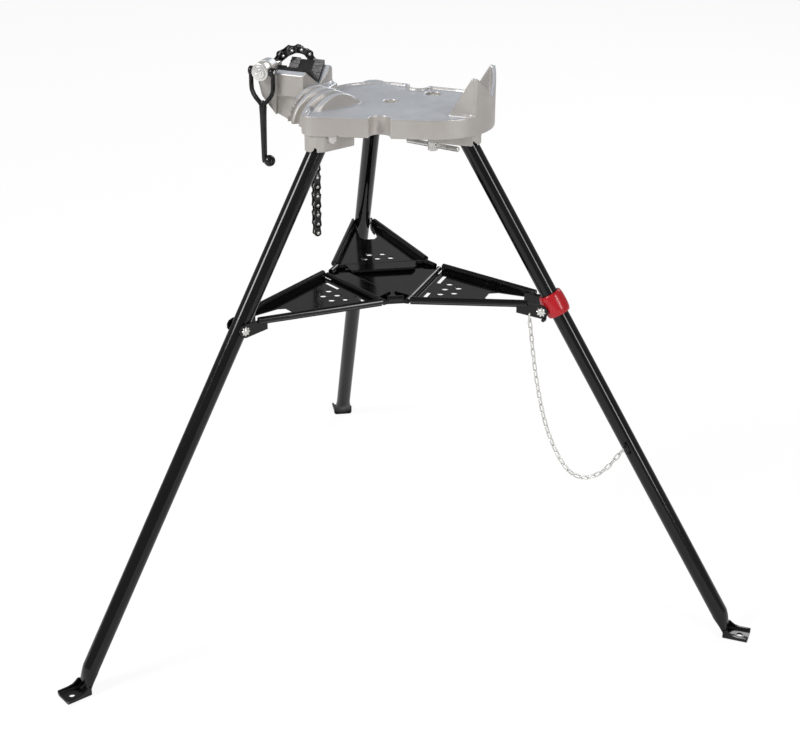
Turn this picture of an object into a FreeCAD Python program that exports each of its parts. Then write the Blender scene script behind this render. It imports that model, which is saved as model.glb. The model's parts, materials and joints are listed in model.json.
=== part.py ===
"""Tripod pipe vise stand: cast table with chain vise, folding legs and a folding three-arm tray.

Millimetres. Everything is drawn about the stand's own axis, which passes through the middle of the
three legs, +Z up from the floor, +X towards the pipe rest, so that a clamped pipe lies along X. save()
then moves each sub-part so that the origin is below the middle of the whole stand's bounding box.
Every sub-part is one STEP file named after its node.
"""
import FreeCAD, Part
import math
import os

V = FreeCAD.Vector
X_AXIS = V(1, 0, 0)
Y_AXIS = V(0, 1, 0)
Z_AXIS = V(0, 0, 1)

# ---------------------------------------------------------------- driving dimensions
# overall
BAR_SIDES = 8                # flats of a rod that nothing turns on
DRUM_SIDES = 14              # flats of a wide round that nothing turns on
TABLE_TOP_Z = 828.0          # working face of the table above the floor
LEG_SPLAY = 31.16            # lean of each leg from the vertical, degrees
LEG_AZIMUTHS = {"right": 0.0, "rear": 120.0, "front": -120.0}

# table casting
TABLE_HALF_WIDTH = 92.0
TABLE_END_X = 78.0           # centre of the round right end
TABLE_BACK_X = -15.0         # centre of the round left end
TABLE_PLATE = 8.0
TABLE_WALL = 5.0
RIM_DEPTH = 26.0             # rim below the working face
LIP_HEIGHT = 4.0             # rim above the working face
FRONT_FLARE = 16.0           # the front edge widens towards the bender, degrees
CORNER_X = -62.0             # left end of the flared front edge
CORNER_RADIUS = 22.0
CENTRE_HOLE = V(6, 2, 0)
CENTRE_HOLE_DIA = 21.0
NOTCH_WIDTH = 32.0
NOTCH_DEPTH = 20.0
FRONT_NOTCH_X = 31.0
BACK_NOTCH_X = 20.0
SLOT_LENGTH = 46.0
SLOT_WIDTH = 9.0
SLOT_INSET = 13.0            # from the front edge to the slot's middle line
SLOT_X = 92.0

# pipe rest
REST_HALF_SPAN = 43.0        # from the axis to each prong
REST_TIP = 60.0              # prong above the working face
REST_VALLEY = 25.0
REST_WALL = 6.0
REST_GUSSET = 38.0

# pipe bender ribs
BENDER_CENTRE = V(-51, -66, 0)
BENDER_RISE = 22.0           # top of the ribs above the working face
BENDER_RADIUS = 45.0
BENDER_AZIMUTH = 150.0       # direction in which the ribs follow each other
BENDER_GROOVES = [15.0, 13.0, 11.0]
BENDER_RIB = 6.0
BENDER_FACE = 9.0
BENDER_GROOVE_DEPTH = 9.0
BENDER_SKIN = 12.0
BENDER_FLATS = 12            # flats round the half drum

# leg hoods and hinges
HINGE_DROP = 32.0            # leg hinge below the working face
HINGE_RADIUS = 121.9         # leg hinge from the middle of the stand
HINGE_PIN_DIA = 10.0
PIN_HEAD_DIA = 16.0
PIN_HEAD = 5.0
HINGE_FIT = 0.08
HOOD_WALL = 5.0
HOOD_DEPTH = 52.0            # hood below the working face
TUBE_FIT = 0.7               # hood pocket around the tube
HOOD_REACH = 26.0            # hood inwards of its cheeks, under the table

# leg tube and foot
TUBE_DIA = 26.7
TUBE_WALL = 2.6
TUBE_HEAD = 13.0             # tube above its hinge
FOOT_LENGTH = 40.0
FOOT_WIDTH = 36.0
FOOT_SHEET = 4.5
FOOT_LIP = 8.0
FOOT_SETBACK = 10.5          # foot plate behind the tube's middle line
FOOT_HOLE_DIA = 10.0
FOOT_HOLE_INSET = 25.0       # hole from the foot's back edge
FOOT_NECK = 46.0             # flattened stretch of the tube above the foot

# tray
TRAY_Z = 534.0               # hinge plane of the tray at work
TRAY_HINGE_RADIUS = 63.4
TRAY_HINGE_WIDTH = 149.0
TRAY_SHEET = 1.6
TRAY_BEAD = 7.0
TRAY_BEAD_RISE = 5.0
TRAY_HINGE_DIA = 5.0
TRAY_KNUCKLE = 8.5
TRAY_FIT = 0.4
EAR_WIDTH = 16.0             # pan's ear at each end of a hinge line
FORK_LENGTH = 26.0           # parallel cheeks either side of the leg
FORK_SHEET = 3.0
FORK_HEIGHT = 22.0
FORK_FIT = 1.4
FORK_OVERLAP = 14.0          # cheeks lapped over the ends of the rims
FORK_DROP = 8.0              # fork pivot below the hinge plane
THROAT_LENGTH = 82.0
FLOOR_MARGIN = 9.0
FLOOR_SLOT = 34.0
FLOOR_HOLE_DIA = 11.0
FLOOR_HOLE_PITCH = 22.0
FLOOR_HOLE_ROWS = [3, 2]     # holes in each row, counted from the hinge
TONGUE_LENGTH = 27.0
TONGUE_INSET = 16.0
TONGUE_CURL = 6.0
RIVET_DIA = 8.0
RIVET_FIT = 0.3              # rivet's inner end off the tube or the collar
RIVET_CAP_DIA = 15.0
RIVET_CAP = 2.5

# leg collar and latch
COLLAR_WALL = 4.2
COLLAR_LENGTH = 36.0
COLLAR_PIVOT_INSET = 20.0    # collar ear pivot from the tube's middle line
EAR_THICKNESS = 13.0
COLLAR_FIT = 0.3
COLLAR_EAR_RADIUS = 9.0
COLLAR_SCREW_DIA = 5.0
COLLAR_SCREW_HEAD = 0.8      # set screw proud of the collar
LEVER_LENGTH = 24.0
LEVER_WIDTH = 8.0
LEVER_SHEET = 3.0
LEVER_NUB = 5.0
LEVER_ROOM = 1.6             # cut from the collar round the lever's eye
LATCH_PIN_DIA = 4.0
LATCH_PLAY = 0.1

# vise jaw and trough
JAW_X = -142.0
JAW_LENGTH = 56.0
JAW_VALLEY = 22.0            # jaw's V above the working face
JAW_HALF_SPAN = 27.0
JAW_FLANK = 42.0             # slope of each flank, degrees
JAW_THICKNESS = 7.0
JAW_TEETH = 6
JAW_TOOTH = 2.2
JAW_GAP = 24.0               # relief between the two toothed bands
TROUGH_WALL = 7.0
TROUGH_FIT = 0.15
SADDLE_END = 12.0            # trough past the jaw, towards the table
SADDLE_CLIP = 10.0           # where its back flank ends, past the jaw
SADDLE_SQUARE = 14.0         # back stretch that ends square
SADDLE_SLANT = 20.6          # the rest runs back at this angle, degrees
BOLT_DIA = 8.0
BOLT_HEAD_FLATS = 13.0
BOLT_HEAD = 6.0
BOLT_SPACING = 19.0
BOLT_FIT = 0.3
BOLT_SEAT_DROP = 38.0        # bolt heads' seat below the working face
BOLT_REACH = 5.0             # bolt's end in the jaw

# vise screw, nut and handle
SCREW_X = -189.0
SCREW_RISE = 38.0            # screw above the working face
SCREW_DIA = 12.0
SCREW_END_Y = -50.0          # outer end, just inside the nut
SCREW_FIT = 0.1
NUT_DIA = 28.0
NUT_LENGTH = 17.0
NUT_Y = -52.0                # outer face of the nut
LUG_DIA = 30.0
LUG_LENGTH = 20.0
YOKE_DIA = 22.0              # round yoke on the screw that holds the first link
YOKE_HEIGHT = 11.0
YOKE_Y = 7.5                 # first chain pin
NUT_RING_DIA = 20.0
EYE_DIA = 15.0
EYE_THICKNESS = 6.5
KNOB_SPIGOT_DIA = 6.0
KNOB_SPIGOT = 8.0
HANDLE_LEAN = 8.0            # the knob hangs this far to the right of the fork
NECK_HALF_WIDTH = 26.0
NECK_DEPTH = 42.0            # neck below the working face
HANDLE_DROP = 132.0          # fork pivot to knob
HANDLE_DIA = 9.6
FORK_EYE = 46.0              # fork pivot to the end of its eye
HANDLE_FIT = 0.4
TRUNNION_DIA = 6.0
KNOB_DIA = 17.0

# vise chain
CHAIN_PITCH = 15.875
CHAIN_PLATE = 2.0
CHAIN_PLATE_HEIGHT = 13.0
CHAIN_ROLLER_DIA = 9.0
CHAIN_INNER = 7.0            # between the inner plates
CHAIN_GAP = 0.1              # side play where one run of links hangs from the next
CHAIN_TURN = 45.0            # the chain leaves the screw turned towards the rest, degrees
DRAPE_HEADINGS = [50, 25, 0, -30, -60, -84, -90, -90, -90, -90]
TAIL_LINKS = 6
TAIL_END_LINKS = 7

# ceiling brace screw
BRACE_X = 52.6
BRACE_Y = 66.0
BRACE_DIA = 15.0
BRACE_HEAD = 17.0
BRACE_HEAD_DROP = 83.0       # crossbar below the working face
BRACE_BOSS_DIA = 30.0
BRACE_BOSS = 34.0            # boss below the working face
BRACE_HOLE_DIA = 25.0
TBAR_DIA = 6.5
TBAR_LENGTH = 94.0
TBAR_AZIMUTH = -11.0
BRACE_FIT = 0.1
BRACE_TIP_DROP = 2.0         # screw tip below the working face
TBAR_END_DIA = 9.0
TBAR_END = 4.0

# storage chain and its hook
TIE_WIRE = 2.2
TIE_CORD = 5.0               # the links' wire wound round one another, taken as one cord
TIE_GAP = 0.3
TIE_Y = -20.75
TIE_ROUTE = [(125.3, 506), (140, 411), (161, 327), (191, 268), (221, 250), (255, 267), (287, 313)]
STAPLE_WIRE = 4.0
STAPLE_SPAN = 16.0
STAPLE_FIT = 0.1
HOOK_WIRE = 3.0
HOOK_HOLE_INSET = 18.0       # hook hole from the fork pivot, towards the pan

# ---------------------------------------------------------------- worked-out sizes
SPLAY = math.radians(LEG_SPLAY)
HINGE_Z = TABLE_TOP_Z - HINGE_DROP
RIM_TOP_Z = TABLE_TOP_Z + LIP_HEIGHT
RIM_BOTTOM_Z = TABLE_TOP_Z - RIM_DEPTH
PLATE_BOTTOM_Z = TABLE_TOP_Z - TABLE_PLATE
TUBE_RADIUS = TUBE_DIA / 2
PIVOT_Z = TRAY_Z - FORK_DROP
SCREW_Z = TABLE_TOP_Z + SCREW_RISE
BOLT_SEAT_Z = TABLE_TOP_Z - BOLT_SEAT_DROP
NECK_BOTTOM_Z = TABLE_TOP_Z - NECK_DEPTH
TRAY_FLOOR_Z = TRAY_Z - TRAY_KNUCKLE / 2


def leg_radius_at(z):
    """Distance of the splayed leg's middle line from the stand's axis at a height."""
    return HINGE_RADIUS + (HINGE_Z - z) * math.tan(SPLAY)


def heel_x():
    """Back edge of the foot plate of a leg that points along +X."""
    return leg_radius_at(FOOT_SHEET / 2) - FOOT_SETBACK


def footprint_middle():
    """Middle of the stand's length, from the right toe to the corners of the other two feet."""
    toe = heel_x() + FOOT_LENGTH
    back = toe * math.cos(math.radians(60)) + FOOT_WIDTH / 2 * math.sin(math.radians(60))
    return (toe - back) / 2


# ---------------------------------------------------------------- small helpers
def save(name, *solids):
    """Writes one sub-part, a single solid or a group of separate solids."""
    flat = []
    for solid in solids:
        flat.extend(moved(solid, V(-footprint_middle(), 0, 0)).Solids)
    shape = flat[0] if len(flat) == 1 else Part.makeCompound(flat)
    shape.exportStep(os.path.join("parts", name + ".step"))
    print(name, len(flat), round(sum(s.Volume for s in flat)))


def turned(shape, degrees, axis=Z_AXIS, centre=V(0, 0, 0)):
    copy = shape.copy()
    copy.rotate(centre, axis, degrees)
    return copy


def moved(shape, offset):
    copy = shape.copy()
    copy.translate(offset)
    return copy


def joined(*shapes):
    return shapes[0].multiFuse(list(shapes[1:])).removeSplitter()


def prism(points, direction):
    """A closed polygon of points pushed along a vector."""
    wire = Part.makePolygon([V(*p) for p in points] + [V(*points[0])])
    return Part.Face(wire).extrude(direction)


def cylinder_between(start, end, radius):
    return Part.makeCylinder(radius, (end - start).Length, start, end - start)


def bar(start, end, radius, sides=BAR_SIDES):
    """A straight rod with a few flats, for rounds that nothing turns on."""
    along = (end - start).normalize()
    side = along.cross(Z_AXIS if abs(along.z) < 0.9 else X_AXIS).normalize()
    other = along.cross(side)
    points = []
    for k in range(sides):
        a = 2 * math.pi * (k + 0.5) / sides
        points.append(start + side * (radius * math.cos(a)) + other * (radius * math.sin(a)))
    return prism(points, end - start)


def bar_round(start, end, radius, sides=BAR_SIDES):
    """The same rod with its flats, not its corners, at the radius; cut out, it clears a round."""
    return bar(start, end, radius / math.cos(math.pi / sides), sides)


def capsule_profile(length, width, height):
    """A flat slot shape in the XZ plane, its two round ends on the origin and on +X."""
    r = width / 2
    a, b = V(0, 0, r), V(length, 0, r)
    c, d = V(length, 0, -r), V(0, 0, -r)
    edges = [
        Part.LineSegment(a, b).toShape(),
        Part.Arc(b, V(length + r, 0, 0), c).toShape(),
        Part.LineSegment(c, d).toShape(),
        Part.Arc(d, V(-r, 0, 0), a).toShape(),
    ]
    face = Part.Face(Part.Wire(edges))
    face.translate(V(0, -height / 2, 0))
    return face.extrude(V(0, height, 0))


def hexagon(flats, height, base):
    r = flats / math.sqrt(3)
    corners = []
    for k in range(6):
        a = math.radians(60 * k)
        corners.append((base.x + r * math.cos(a), base.y + r * math.sin(a), base.z))
    return prism(corners, V(0, 0, height))


# ---------------------------------------------------------------- table casting
def table_outline(z, inset):
    """Outer edge of the table at height z, moved in by inset; the notches are cut later."""
    r = TABLE_HALF_WIDTH - inset
    flare = math.radians(FRONT_FLARE)
    right = V(TABLE_END_X, 0, z)
    left = V(TABLE_BACK_X, 0, z)

    def on(centre, radius, degrees):
        a = math.radians(degrees)
        return centre + V(radius * math.cos(a), radius * math.sin(a), 0)

    front_start = on(right, r, -90 + FRONT_FLARE)
    run = (front_start.x - CORNER_X) / math.cos(flare)
    front_end = front_start - V(run * math.cos(flare), run * math.sin(flare), 0)
    corner_r = CORNER_RADIUS - inset
    corner = front_end + V(-corner_r * math.sin(flare), corner_r * math.cos(flare), 0)
    corner_end = on(corner, corner_r, 205)
    edges = [
        Part.LineSegment(on(left, r, 90), on(right, r, 90)).toShape(),
        Part.Arc(on(right, r, 90), on(right, r, 0), front_start).toShape(),
        Part.LineSegment(front_start, front_end).toShape(),
        Part.Arc(front_end, on(corner, corner_r, 235), corner_end).toShape(),
        Part.LineSegment(corner_end, on(left, r, 200)).toShape(),
        Part.Arc(on(left, r, 200), on(left, r, 145), on(left, r, 90)).toShape(),
    ]
    return Part.Face(Part.Wire(edges))


def front_edge_point(x, inset, z):
    """A point on the flared front edge, moved in by inset."""
    flare = math.radians(FRONT_FLARE)
    r = TABLE_HALF_WIDTH - inset
    start = V(TABLE_END_X + r * math.sin(flare), -r * math.cos(flare), z)
    return V(x, start.y - (start.x - x) * math.tan(flare), z)


def notch(centre, inward, width, z0, z1):
    """A U-shaped cutter that opens over the edge; inward points into the table."""
    r = width / 2
    side = V(-inward.y, inward.x, 0)
    middle = centre + inward * (NOTCH_DEPTH - NOTCH_WIDTH / 2)
    tip = middle + inward * r
    outer = centre - inward * 60
    a, b = middle + side * r, middle - side * r
    c, d = outer - side * r, outer + side * r
    edges = [
        Part.Arc(a, tip, b).toShape(),
        Part.LineSegment(b, c).toShape(),
        Part.LineSegment(c, d).toShape(),
        Part.LineSegment(d, a).toShape(),
    ]
    face = Part.Face(Part.Wire(edges))
    face.translate(V(0, 0, z0))
    return face.extrude(V(0, 0, z1 - z0))


def notch_places():
    flare = math.radians(FRONT_FLARE)
    front = front_edge_point(FRONT_NOTCH_X, 0, 0)
    back = V(BACK_NOTCH_X, TABLE_HALF_WIDTH, 0)
    return [(front, V(-math.sin(flare), math.cos(flare), 0)), (back, V(0, -1, 0))]


def table_pan():
    """Plate, rim and lip, with walls of one thickness round both notches."""
    outer = table_outline(RIM_BOTTOM_Z, 0).extrude(V(0, 0, RIM_TOP_Z - RIM_BOTTOM_Z))
    below = table_outline(RIM_BOTTOM_Z, TABLE_WALL).extrude(V(0, 0, PLATE_BOTTOM_Z - RIM_BOTTOM_Z))
    above = table_outline(TABLE_TOP_Z, TABLE_WALL).extrude(V(0, 0, LIP_HEIGHT))
    for centre, inward in notch_places():
        wall = notch(centre, inward, NOTCH_WIDTH + 2 * TABLE_WALL, RIM_BOTTOM_Z, RIM_TOP_Z)
        below = below.cut(wall)
        above = above.cut(wall)
    pan = outer.cut(below).cut(above)
    for centre, inward in notch_places():
        pan = pan.cut(notch(centre, inward, NOTCH_WIDTH, RIM_BOTTOM_Z - 1, RIM_TOP_Z + 1))
    return pan


def pipe_rest():
    """V wall on the rim of the right end with a gusset behind each prong."""
    centre = V(TABLE_END_X, 0, RIM_BOTTOM_Z)
    height = RIM_DEPTH + REST_TIP
    ring = Part.makeCylinder(TABLE_HALF_WIDTH, height, centre)
    ring = ring.cut(Part.makeCylinder(TABLE_HALF_WIDTH - REST_WALL, height, centre))
    valley_z = TABLE_TOP_Z + REST_VALLEY
    tip_z = TABLE_TOP_Z + REST_TIP
    outline = [
        (0, -REST_HALF_SPAN - 3, RIM_BOTTOM_Z),
        (0, -REST_HALF_SPAN - 3, TABLE_TOP_Z + LIP_HEIGHT),
        (0, -REST_HALF_SPAN - 1, tip_z),
        (0, -REST_HALF_SPAN + 1, tip_z),
        (0, -2, valley_z),
        (0, 2, valley_z),
        (0, REST_HALF_SPAN - 1, tip_z),
        (0, REST_HALF_SPAN + 1, tip_z),
        (0, REST_HALF_SPAN + 3, TABLE_TOP_Z + LIP_HEIGHT),
        (0, REST_HALF_SPAN + 3, RIM_BOTTOM_Z),
    ]
    window = prism([(TABLE_END_X, p[1], p[2]) for p in outline], V(TABLE_HALF_WIDTH + 5, 0, 0))
    wall = ring.common(window)
    ridge_x = TABLE_END_X + math.sqrt((TABLE_HALF_WIDTH - REST_WALL) ** 2 - REST_HALF_SPAN**2)
    pieces = [wall]
    for side in (-1, 1):
        y = side * REST_HALF_SPAN - REST_WALL / 2
        pieces.append(
            prism(
                [
                    (ridge_x - REST_GUSSET, y, TABLE_TOP_Z - 1),
                    (ridge_x + 3, y, TABLE_TOP_Z - 1),
                    (ridge_x + 3, y, tip_z),
                    (ridge_x - 1, y, tip_z),
                ],
                V(0, REST_WALL, 0),
            )
        )
    return joined(*pieces)


def bender_drum():
    """Half drum with tapered grooves, lofted through half-round sections, hollow below."""
    axis_z = TABLE_TOP_Z + BENDER_RISE - BENDER_RADIUS
    length = BENDER_FACE + sum(BENDER_GROOVES) + BENDER_RIB * len(BENDER_GROOVES)
    profile = [(0, BENDER_RADIUS), (BENDER_FACE, BENDER_RADIUS)]
    at = BENDER_FACE
    for width in BENDER_GROOVES:
        profile.append((at + width * 0.36, BENDER_RADIUS - BENDER_GROOVE_DEPTH))
        profile.append((at + width * 0.64, BENDER_RADIUS - BENDER_GROOVE_DEPTH))
        at += width
        profile += [(at, BENDER_RADIUS), (at + BENDER_RIB, BENDER_RADIUS)]
        at += BENDER_RIB
    sections = []
    for x, r in profile:
        angles = [math.pi * k / BENDER_FLATS for k in range(BENDER_FLATS + 1)]
        section = [V(x, r * math.cos(a), r * math.sin(a)) for a in angles]
        sections.append(Part.makePolygon(section + section[:1]))
    drum = Part.makeLoft(sections, True, True)
    core = BENDER_RADIUS - BENDER_SKIN
    room = [(-core, -1), (-core, core * 0.4), (-core * 0.5, core * 0.85)]
    room += [(-y, z) for y, z in reversed(room)]
    drum = drum.cut(prism([(TABLE_WALL, y, z) for y, z in room], V(length - 2 * TABLE_WALL, 0, 0)))
    drum = turned(drum, BENDER_AZIMUTH)
    drum.translate(BENDER_CENTRE + V(0, 0, axis_z))
    return drum


def hood():
    """Cast block below the table that holds a leg's top, for a leg that points along +X."""
    half = TUBE_RADIUS + TUBE_FIT + HOOD_WALL
    bottom = TABLE_TOP_Z - HOOD_DEPTH
    inner_x = HINGE_RADIUS - half - HOOD_REACH
    outer_x = leg_radius_at(bottom)
    outline = [(inner_x, -half, bottom), (inner_x, half, bottom)]
    for degrees in (90, 54, 18, -18, -54, -90):
        a = math.radians(degrees)
        outline.append((outer_x + half * math.cos(a), half * math.sin(a), bottom))
    return prism(outline, V(0, 0, PLATE_BOTTOM_Z + 1 - bottom))


def hood_cutters():
    """The room that a leg sweeps from upright to splayed, and its hinge's holes."""
    radius = TUBE_RADIUS + TUBE_FIT
    half = radius + HOOD_WALL
    hinge = V(HINGE_RADIUS, 0, HINGE_Z)
    splayed = V(math.sin(SPLAY), 0, -math.cos(SPLAY))
    outward = V(math.cos(SPLAY), 0, math.sin(SPLAY))
    head_room = (math.hypot(TUBE_HEAD, TUBE_RADIUS) + 1.0) / math.cos(math.radians(20))
    depth = HOOD_DEPTH - HINGE_DROP + 6
    low = hinge + outward * radius + splayed * (depth / math.cos(SPLAY))
    outline = [hinge + V(-radius, 0, -head_room), hinge + V(-radius, 0, -depth)]
    outline += [V(low.x, 0, hinge.z - depth), low, hinge + outward * radius + splayed * 8]
    for degrees in (30, 65, 105, 145, 180):
        a = math.radians(degrees)
        outline.append(hinge + V(head_room * math.cos(a), 0, head_room * math.sin(a)))
    room = prism([p - V(0, radius, 0) for p in outline], V(0, 2 * radius, 0))
    recess = bar(hinge + V(0, half, 0), hinge + V(0, half + 20, 0), PIN_HEAD_DIA / 2 + 1, 6)
    hole = bar_round(hinge - V(0, half + 2, 0), hinge + V(0, half + 2, 0), HINGE_PIN_DIA / 2 + HINGE_FIT)
    return [room, recess, hole]


def vise_neck():
    """Left end of the casting: neck, V trough and screw lug."""
    top = TABLE_TOP_Z + JAW_VALLEY - JAW_THICKNESS
    lug_y = NUT_Y + NUT_LENGTH + 1
    arm_x = SCREW_X + LUG_DIA / 2 + 3
    side = [
        (arm_x - 4, NECK_BOTTOM_Z + 12),
        (JAW_X - 8, NECK_BOTTOM_Z),
        (JAW_X + 16, NECK_BOTTOM_Z),
        (-92, RIM_BOTTOM_Z),
        (-92, top - 2),
        (arm_x - 4, top - 2),
    ]
    neck = prism([(x, -NECK_HALF_WIDTH, z) for x, z in side], V(0, 2 * NECK_HALF_WIDTH, 0))
    arm_side = [
        (arm_x, NECK_BOTTOM_Z + 10),
        (SCREW_X - 6, TABLE_TOP_Z - 4),
        (SCREW_X - LUG_DIA / 2, SCREW_Z - 4),
        (SCREW_X - LUG_DIA / 2, SCREW_Z),
        (SCREW_X + LUG_DIA / 2, SCREW_Z),
        (arm_x + 2, top - 2),
    ]
    arm = prism([(x, lug_y, z) for x, z in arm_side], V(0, LUG_LENGTH, 0))
    lug = Part.makeCylinder(LUG_DIA / 2, LUG_LENGTH, V(SCREW_X, lug_y, SCREW_Z), Y_AXIS)
    reach = JAW_HALF_SPAN * math.tan(math.radians(JAW_FLANK))
    outer = JAW_HALF_SPAN + TROUGH_WALL
    trough = [
        (-outer, top - 16),
        (-outer, top + reach - 6),
        (-JAW_HALF_SPAN, top + reach),
        (0, top),
        (JAW_HALF_SPAN, top + reach),
        (outer, top + reach - 6),
        (outer, top - 16),
    ]
    start = JAW_X - JAW_LENGTH / 2
    end = JAW_X + JAW_LENGTH / 2
    saddle = prism([(start, y, z) for y, z in trough], V(JAW_LENGTH + SADDLE_END, 0, 0))
    square_y = outer - SADDLE_SQUARE
    slant_x = (square_y + outer) * math.tan(math.radians(SADDLE_SLANT))
    clip = [
        (end + SADDLE_CLIP, outer),
        (end + SADDLE_CLIP, square_y),
        (end + SADDLE_CLIP - slant_x, -outer),
        (end + SADDLE_END, -outer),
        (end + SADDLE_END, outer),
    ]
    slant = prism([(x, y, top - 2) for x, y in clip], V(0, 0, reach + 2))
    return joined(neck, saddle.cut(slant), arm, lug)


def table_casting():
    pieces = [table_pan(), pipe_rest(), bender_drum()]
    boss = V(BRACE_X, BRACE_Y, TABLE_TOP_Z - BRACE_BOSS)
    pieces.append(bar(boss, boss + V(0, 0, BRACE_BOSS - 2), BRACE_BOSS_DIA / 2))
    for azimuth in LEG_AZIMUTHS.values():
        pieces.append(turned(hood(), azimuth))
    pieces.append(vise_neck())
    casting = joined(*pieces)
    for azimuth in LEG_AZIMUTHS.values():
        for cutter in hood_cutters():
            casting = casting.cut(turned(cutter, azimuth))
    cutters = []
    below = V(0, 0, TABLE_TOP_Z - BRACE_BOSS - 1)
    depth = BRACE_BOSS + LIP_HEIGHT + 2
    brace = V(BRACE_X, BRACE_Y, 0)
    screw = V(SCREW_X, NUT_Y + NUT_LENGTH, SCREW_Z)
    cutters.append(Part.makeCylinder(CENTRE_HOLE_DIA / 2, depth, CENTRE_HOLE + below))
    cutters.append(Part.makeCylinder(BRACE_HOLE_DIA / 2, depth, brace + V(0, 0, PLATE_BOTTOM_Z)))
    cutters.append(Part.makeCylinder(BRACE_DIA / 2 + BRACE_FIT, depth, brace + below))
    cutters.append(Part.makeCylinder(SCREW_DIA / 2 + SCREW_FIT, LUG_LENGTH + 2, screw, Y_AXIS))
    for k in (-1, 1):
        seat = V(JAW_X + k * BOLT_SPACING / 2, 0, BOLT_SEAT_Z)
        top = V(seat.x, 0, jaw_floor() + BOLT_REACH)
        cutters.append(bar_round(seat, top, BOLT_DIA / 2 + BOLT_FIT))
        head_radius = BOLT_HEAD_FLATS / math.sqrt(3) + BOLT_FIT
        cutters.append(bar_round(seat - V(0, 0, NECK_DEPTH), seat, head_radius, 6))
    slot_centre = front_edge_point(SLOT_X, SLOT_INSET, TABLE_TOP_Z)
    slot = capsule_profile(SLOT_LENGTH - SLOT_WIDTH, SLOT_WIDTH, 2 * RIM_DEPTH)
    slot = turned(slot, 90, X_AXIS)
    slot.translate(V(-(SLOT_LENGTH - SLOT_WIDTH) / 2, 0, 0))
    slot = turned(slot, FRONT_FLARE)
    slot.translate(slot_centre)
    cutters.append(slot)
    return casting.cut(cutters)


# ---------------------------------------------------------------- legs
def leg():
    """One leg that points along +X: tube, flattened neck and upturned foot in one piece."""
    down = V(math.sin(SPLAY), 0, -math.cos(SPLAY))
    hinge = V(HINGE_RADIUS, 0, HINGE_Z)
    length = HINGE_Z / math.cos(SPLAY)
    neck_start = hinge + down * (length - FOOT_NECK)
    tube = cylinder_between(hinge - down * TUBE_HEAD, neck_start, TUBE_RADIUS)
    bore = bar_round(hinge - down * (TUBE_HEAD + 1), neck_start, TUBE_RADIUS - TUBE_WALL)
    tube = tube.cut(bore)
    reach = V(0, TUBE_RADIUS + 2, 0)
    tube = tube.cut(cylinder_between(hinge - reach, hinge + reach, HINGE_PIN_DIA / 2 + HINGE_FIT))
    back = heel_x()
    half = FOOT_WIDTH / 2
    outward = V(math.cos(SPLAY), 0, math.sin(SPLAY))
    inner = neck_start - outward * TUBE_RADIUS
    outer = neck_start + outward * TUBE_RADIUS
    side = [inner, outer, V(back + 2 * FOOT_SHEET, 0, FOOT_SHEET / 2), V(back, 0, FOOT_SHEET / 2)]
    neck = prism([p - V(0, half, 0) for p in side], V(0, FOOT_WIDTH, 0))
    low = neck_start + down * (FOOT_NECK + 10)
    face = [(neck_start, -TUBE_RADIUS), (neck_start, TUBE_RADIUS), (low, half), (low, -half)]
    across = outward * (FOOT_NECK + 2 * TUBE_RADIUS)
    neck = neck.common(prism([p - across / 2 + V(0, y, 0) for p, y in face], across))
    floor = Part.makeBox(FOOT_LENGTH, FOOT_WIDTH, FOOT_SHEET, V(back, -half, 0))
    pieces = [tube, neck, floor]
    for side in (-1, 1):
        y = side * (half - FOOT_SHEET / 2) - FOOT_SHEET / 2
        lip = prism(
            [
                (back, y, FOOT_SHEET / 2),
                (back + FOOT_LENGTH, y, FOOT_SHEET / 2),
                (back + FOOT_LENGTH, y, FOOT_LIP),
                (back + 2 * FOOT_SHEET, y, FOOT_LIP + 4),
                (back + FOOT_SHEET, y, FOOT_LIP + 10),
                (back, y, FOOT_LIP),
            ],
            V(0, FOOT_SHEET, 0),
        )
        pieces.append(lip)
    foot = joined(*pieces)
    hole = Part.makeCylinder(FOOT_HOLE_DIA / 2, 30, V(back + FOOT_HOLE_INSET, 0, -10))
    return foot.cut(hole)


def leg_hinge_pin():
    """Bolt through a hood and its leg, with a hexagon head on one side."""
    half = TUBE_RADIUS + TUBE_FIT + HOOD_WALL
    shank = Part.makeCylinder(HINGE_PIN_DIA / 2, 2 * half + 1, V(HINGE_RADIUS, -half - 1, HINGE_Z), Y_AXIS)
    head = bar(V(HINGE_RADIUS, half, HINGE_Z), V(HINGE_RADIUS, half + PIN_HEAD, HINGE_Z), PIN_HEAD_DIA / 2, 6)
    return joined(shank, head)


# ---------------------------------------------------------------- tray
def fork_half_gap(kind):
    """Half the space between the cheeks: round the bare tube, or round the collar on the right."""
    if kind == "right":
        return TUBE_RADIUS + COLLAR_FIT + COLLAR_WALL + FORK_FIT
    return TUBE_RADIUS + FORK_FIT


def fork_pivot_x(kind):
    inset = COLLAR_PIVOT_INSET if kind == "right" else 0.0
    return leg_radius_at(PIVOT_Z) - inset


def hook_hole_centre():
    """Middle of the hook's hole in the front cheek of the right fork."""
    y = -fork_half_gap("right") - FORK_SHEET / 2
    return V(fork_pivot_x("right") - HOOK_HOLE_INSET, y, PIVOT_Z - FORK_HEIGHT / 2 + HOOK_WIRE + 1.5)


def hinge_bore():
    radius = TRAY_HINGE_DIA / 2 + HINGE_FIT
    start = V(TRAY_HINGE_RADIUS, -TRAY_HINGE_WIDTH / 2 - 1, TRAY_Z)
    return Part.makeCylinder(radius, TRAY_HINGE_WIDTH + 2, start, Y_AXIS)


def knuckle(start_y, length, toward):
    """One rolled knuckle on the +X hinge line with the web that joins it to its sheet."""
    start = V(TRAY_HINGE_RADIUS, start_y, TRAY_Z)
    roll = bar_round(start, start + V(0, length, 0), TRAY_KNUCKLE / 2)
    reach = TRAY_KNUCKLE / 2 + 2.0
    x0 = TRAY_HINGE_RADIUS - (reach if toward < 0 else 0)
    web = Part.makeBox(reach, length, TRAY_SHEET, V(x0, start_y, TRAY_FLOOR_Z))
    return [roll, web]


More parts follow.
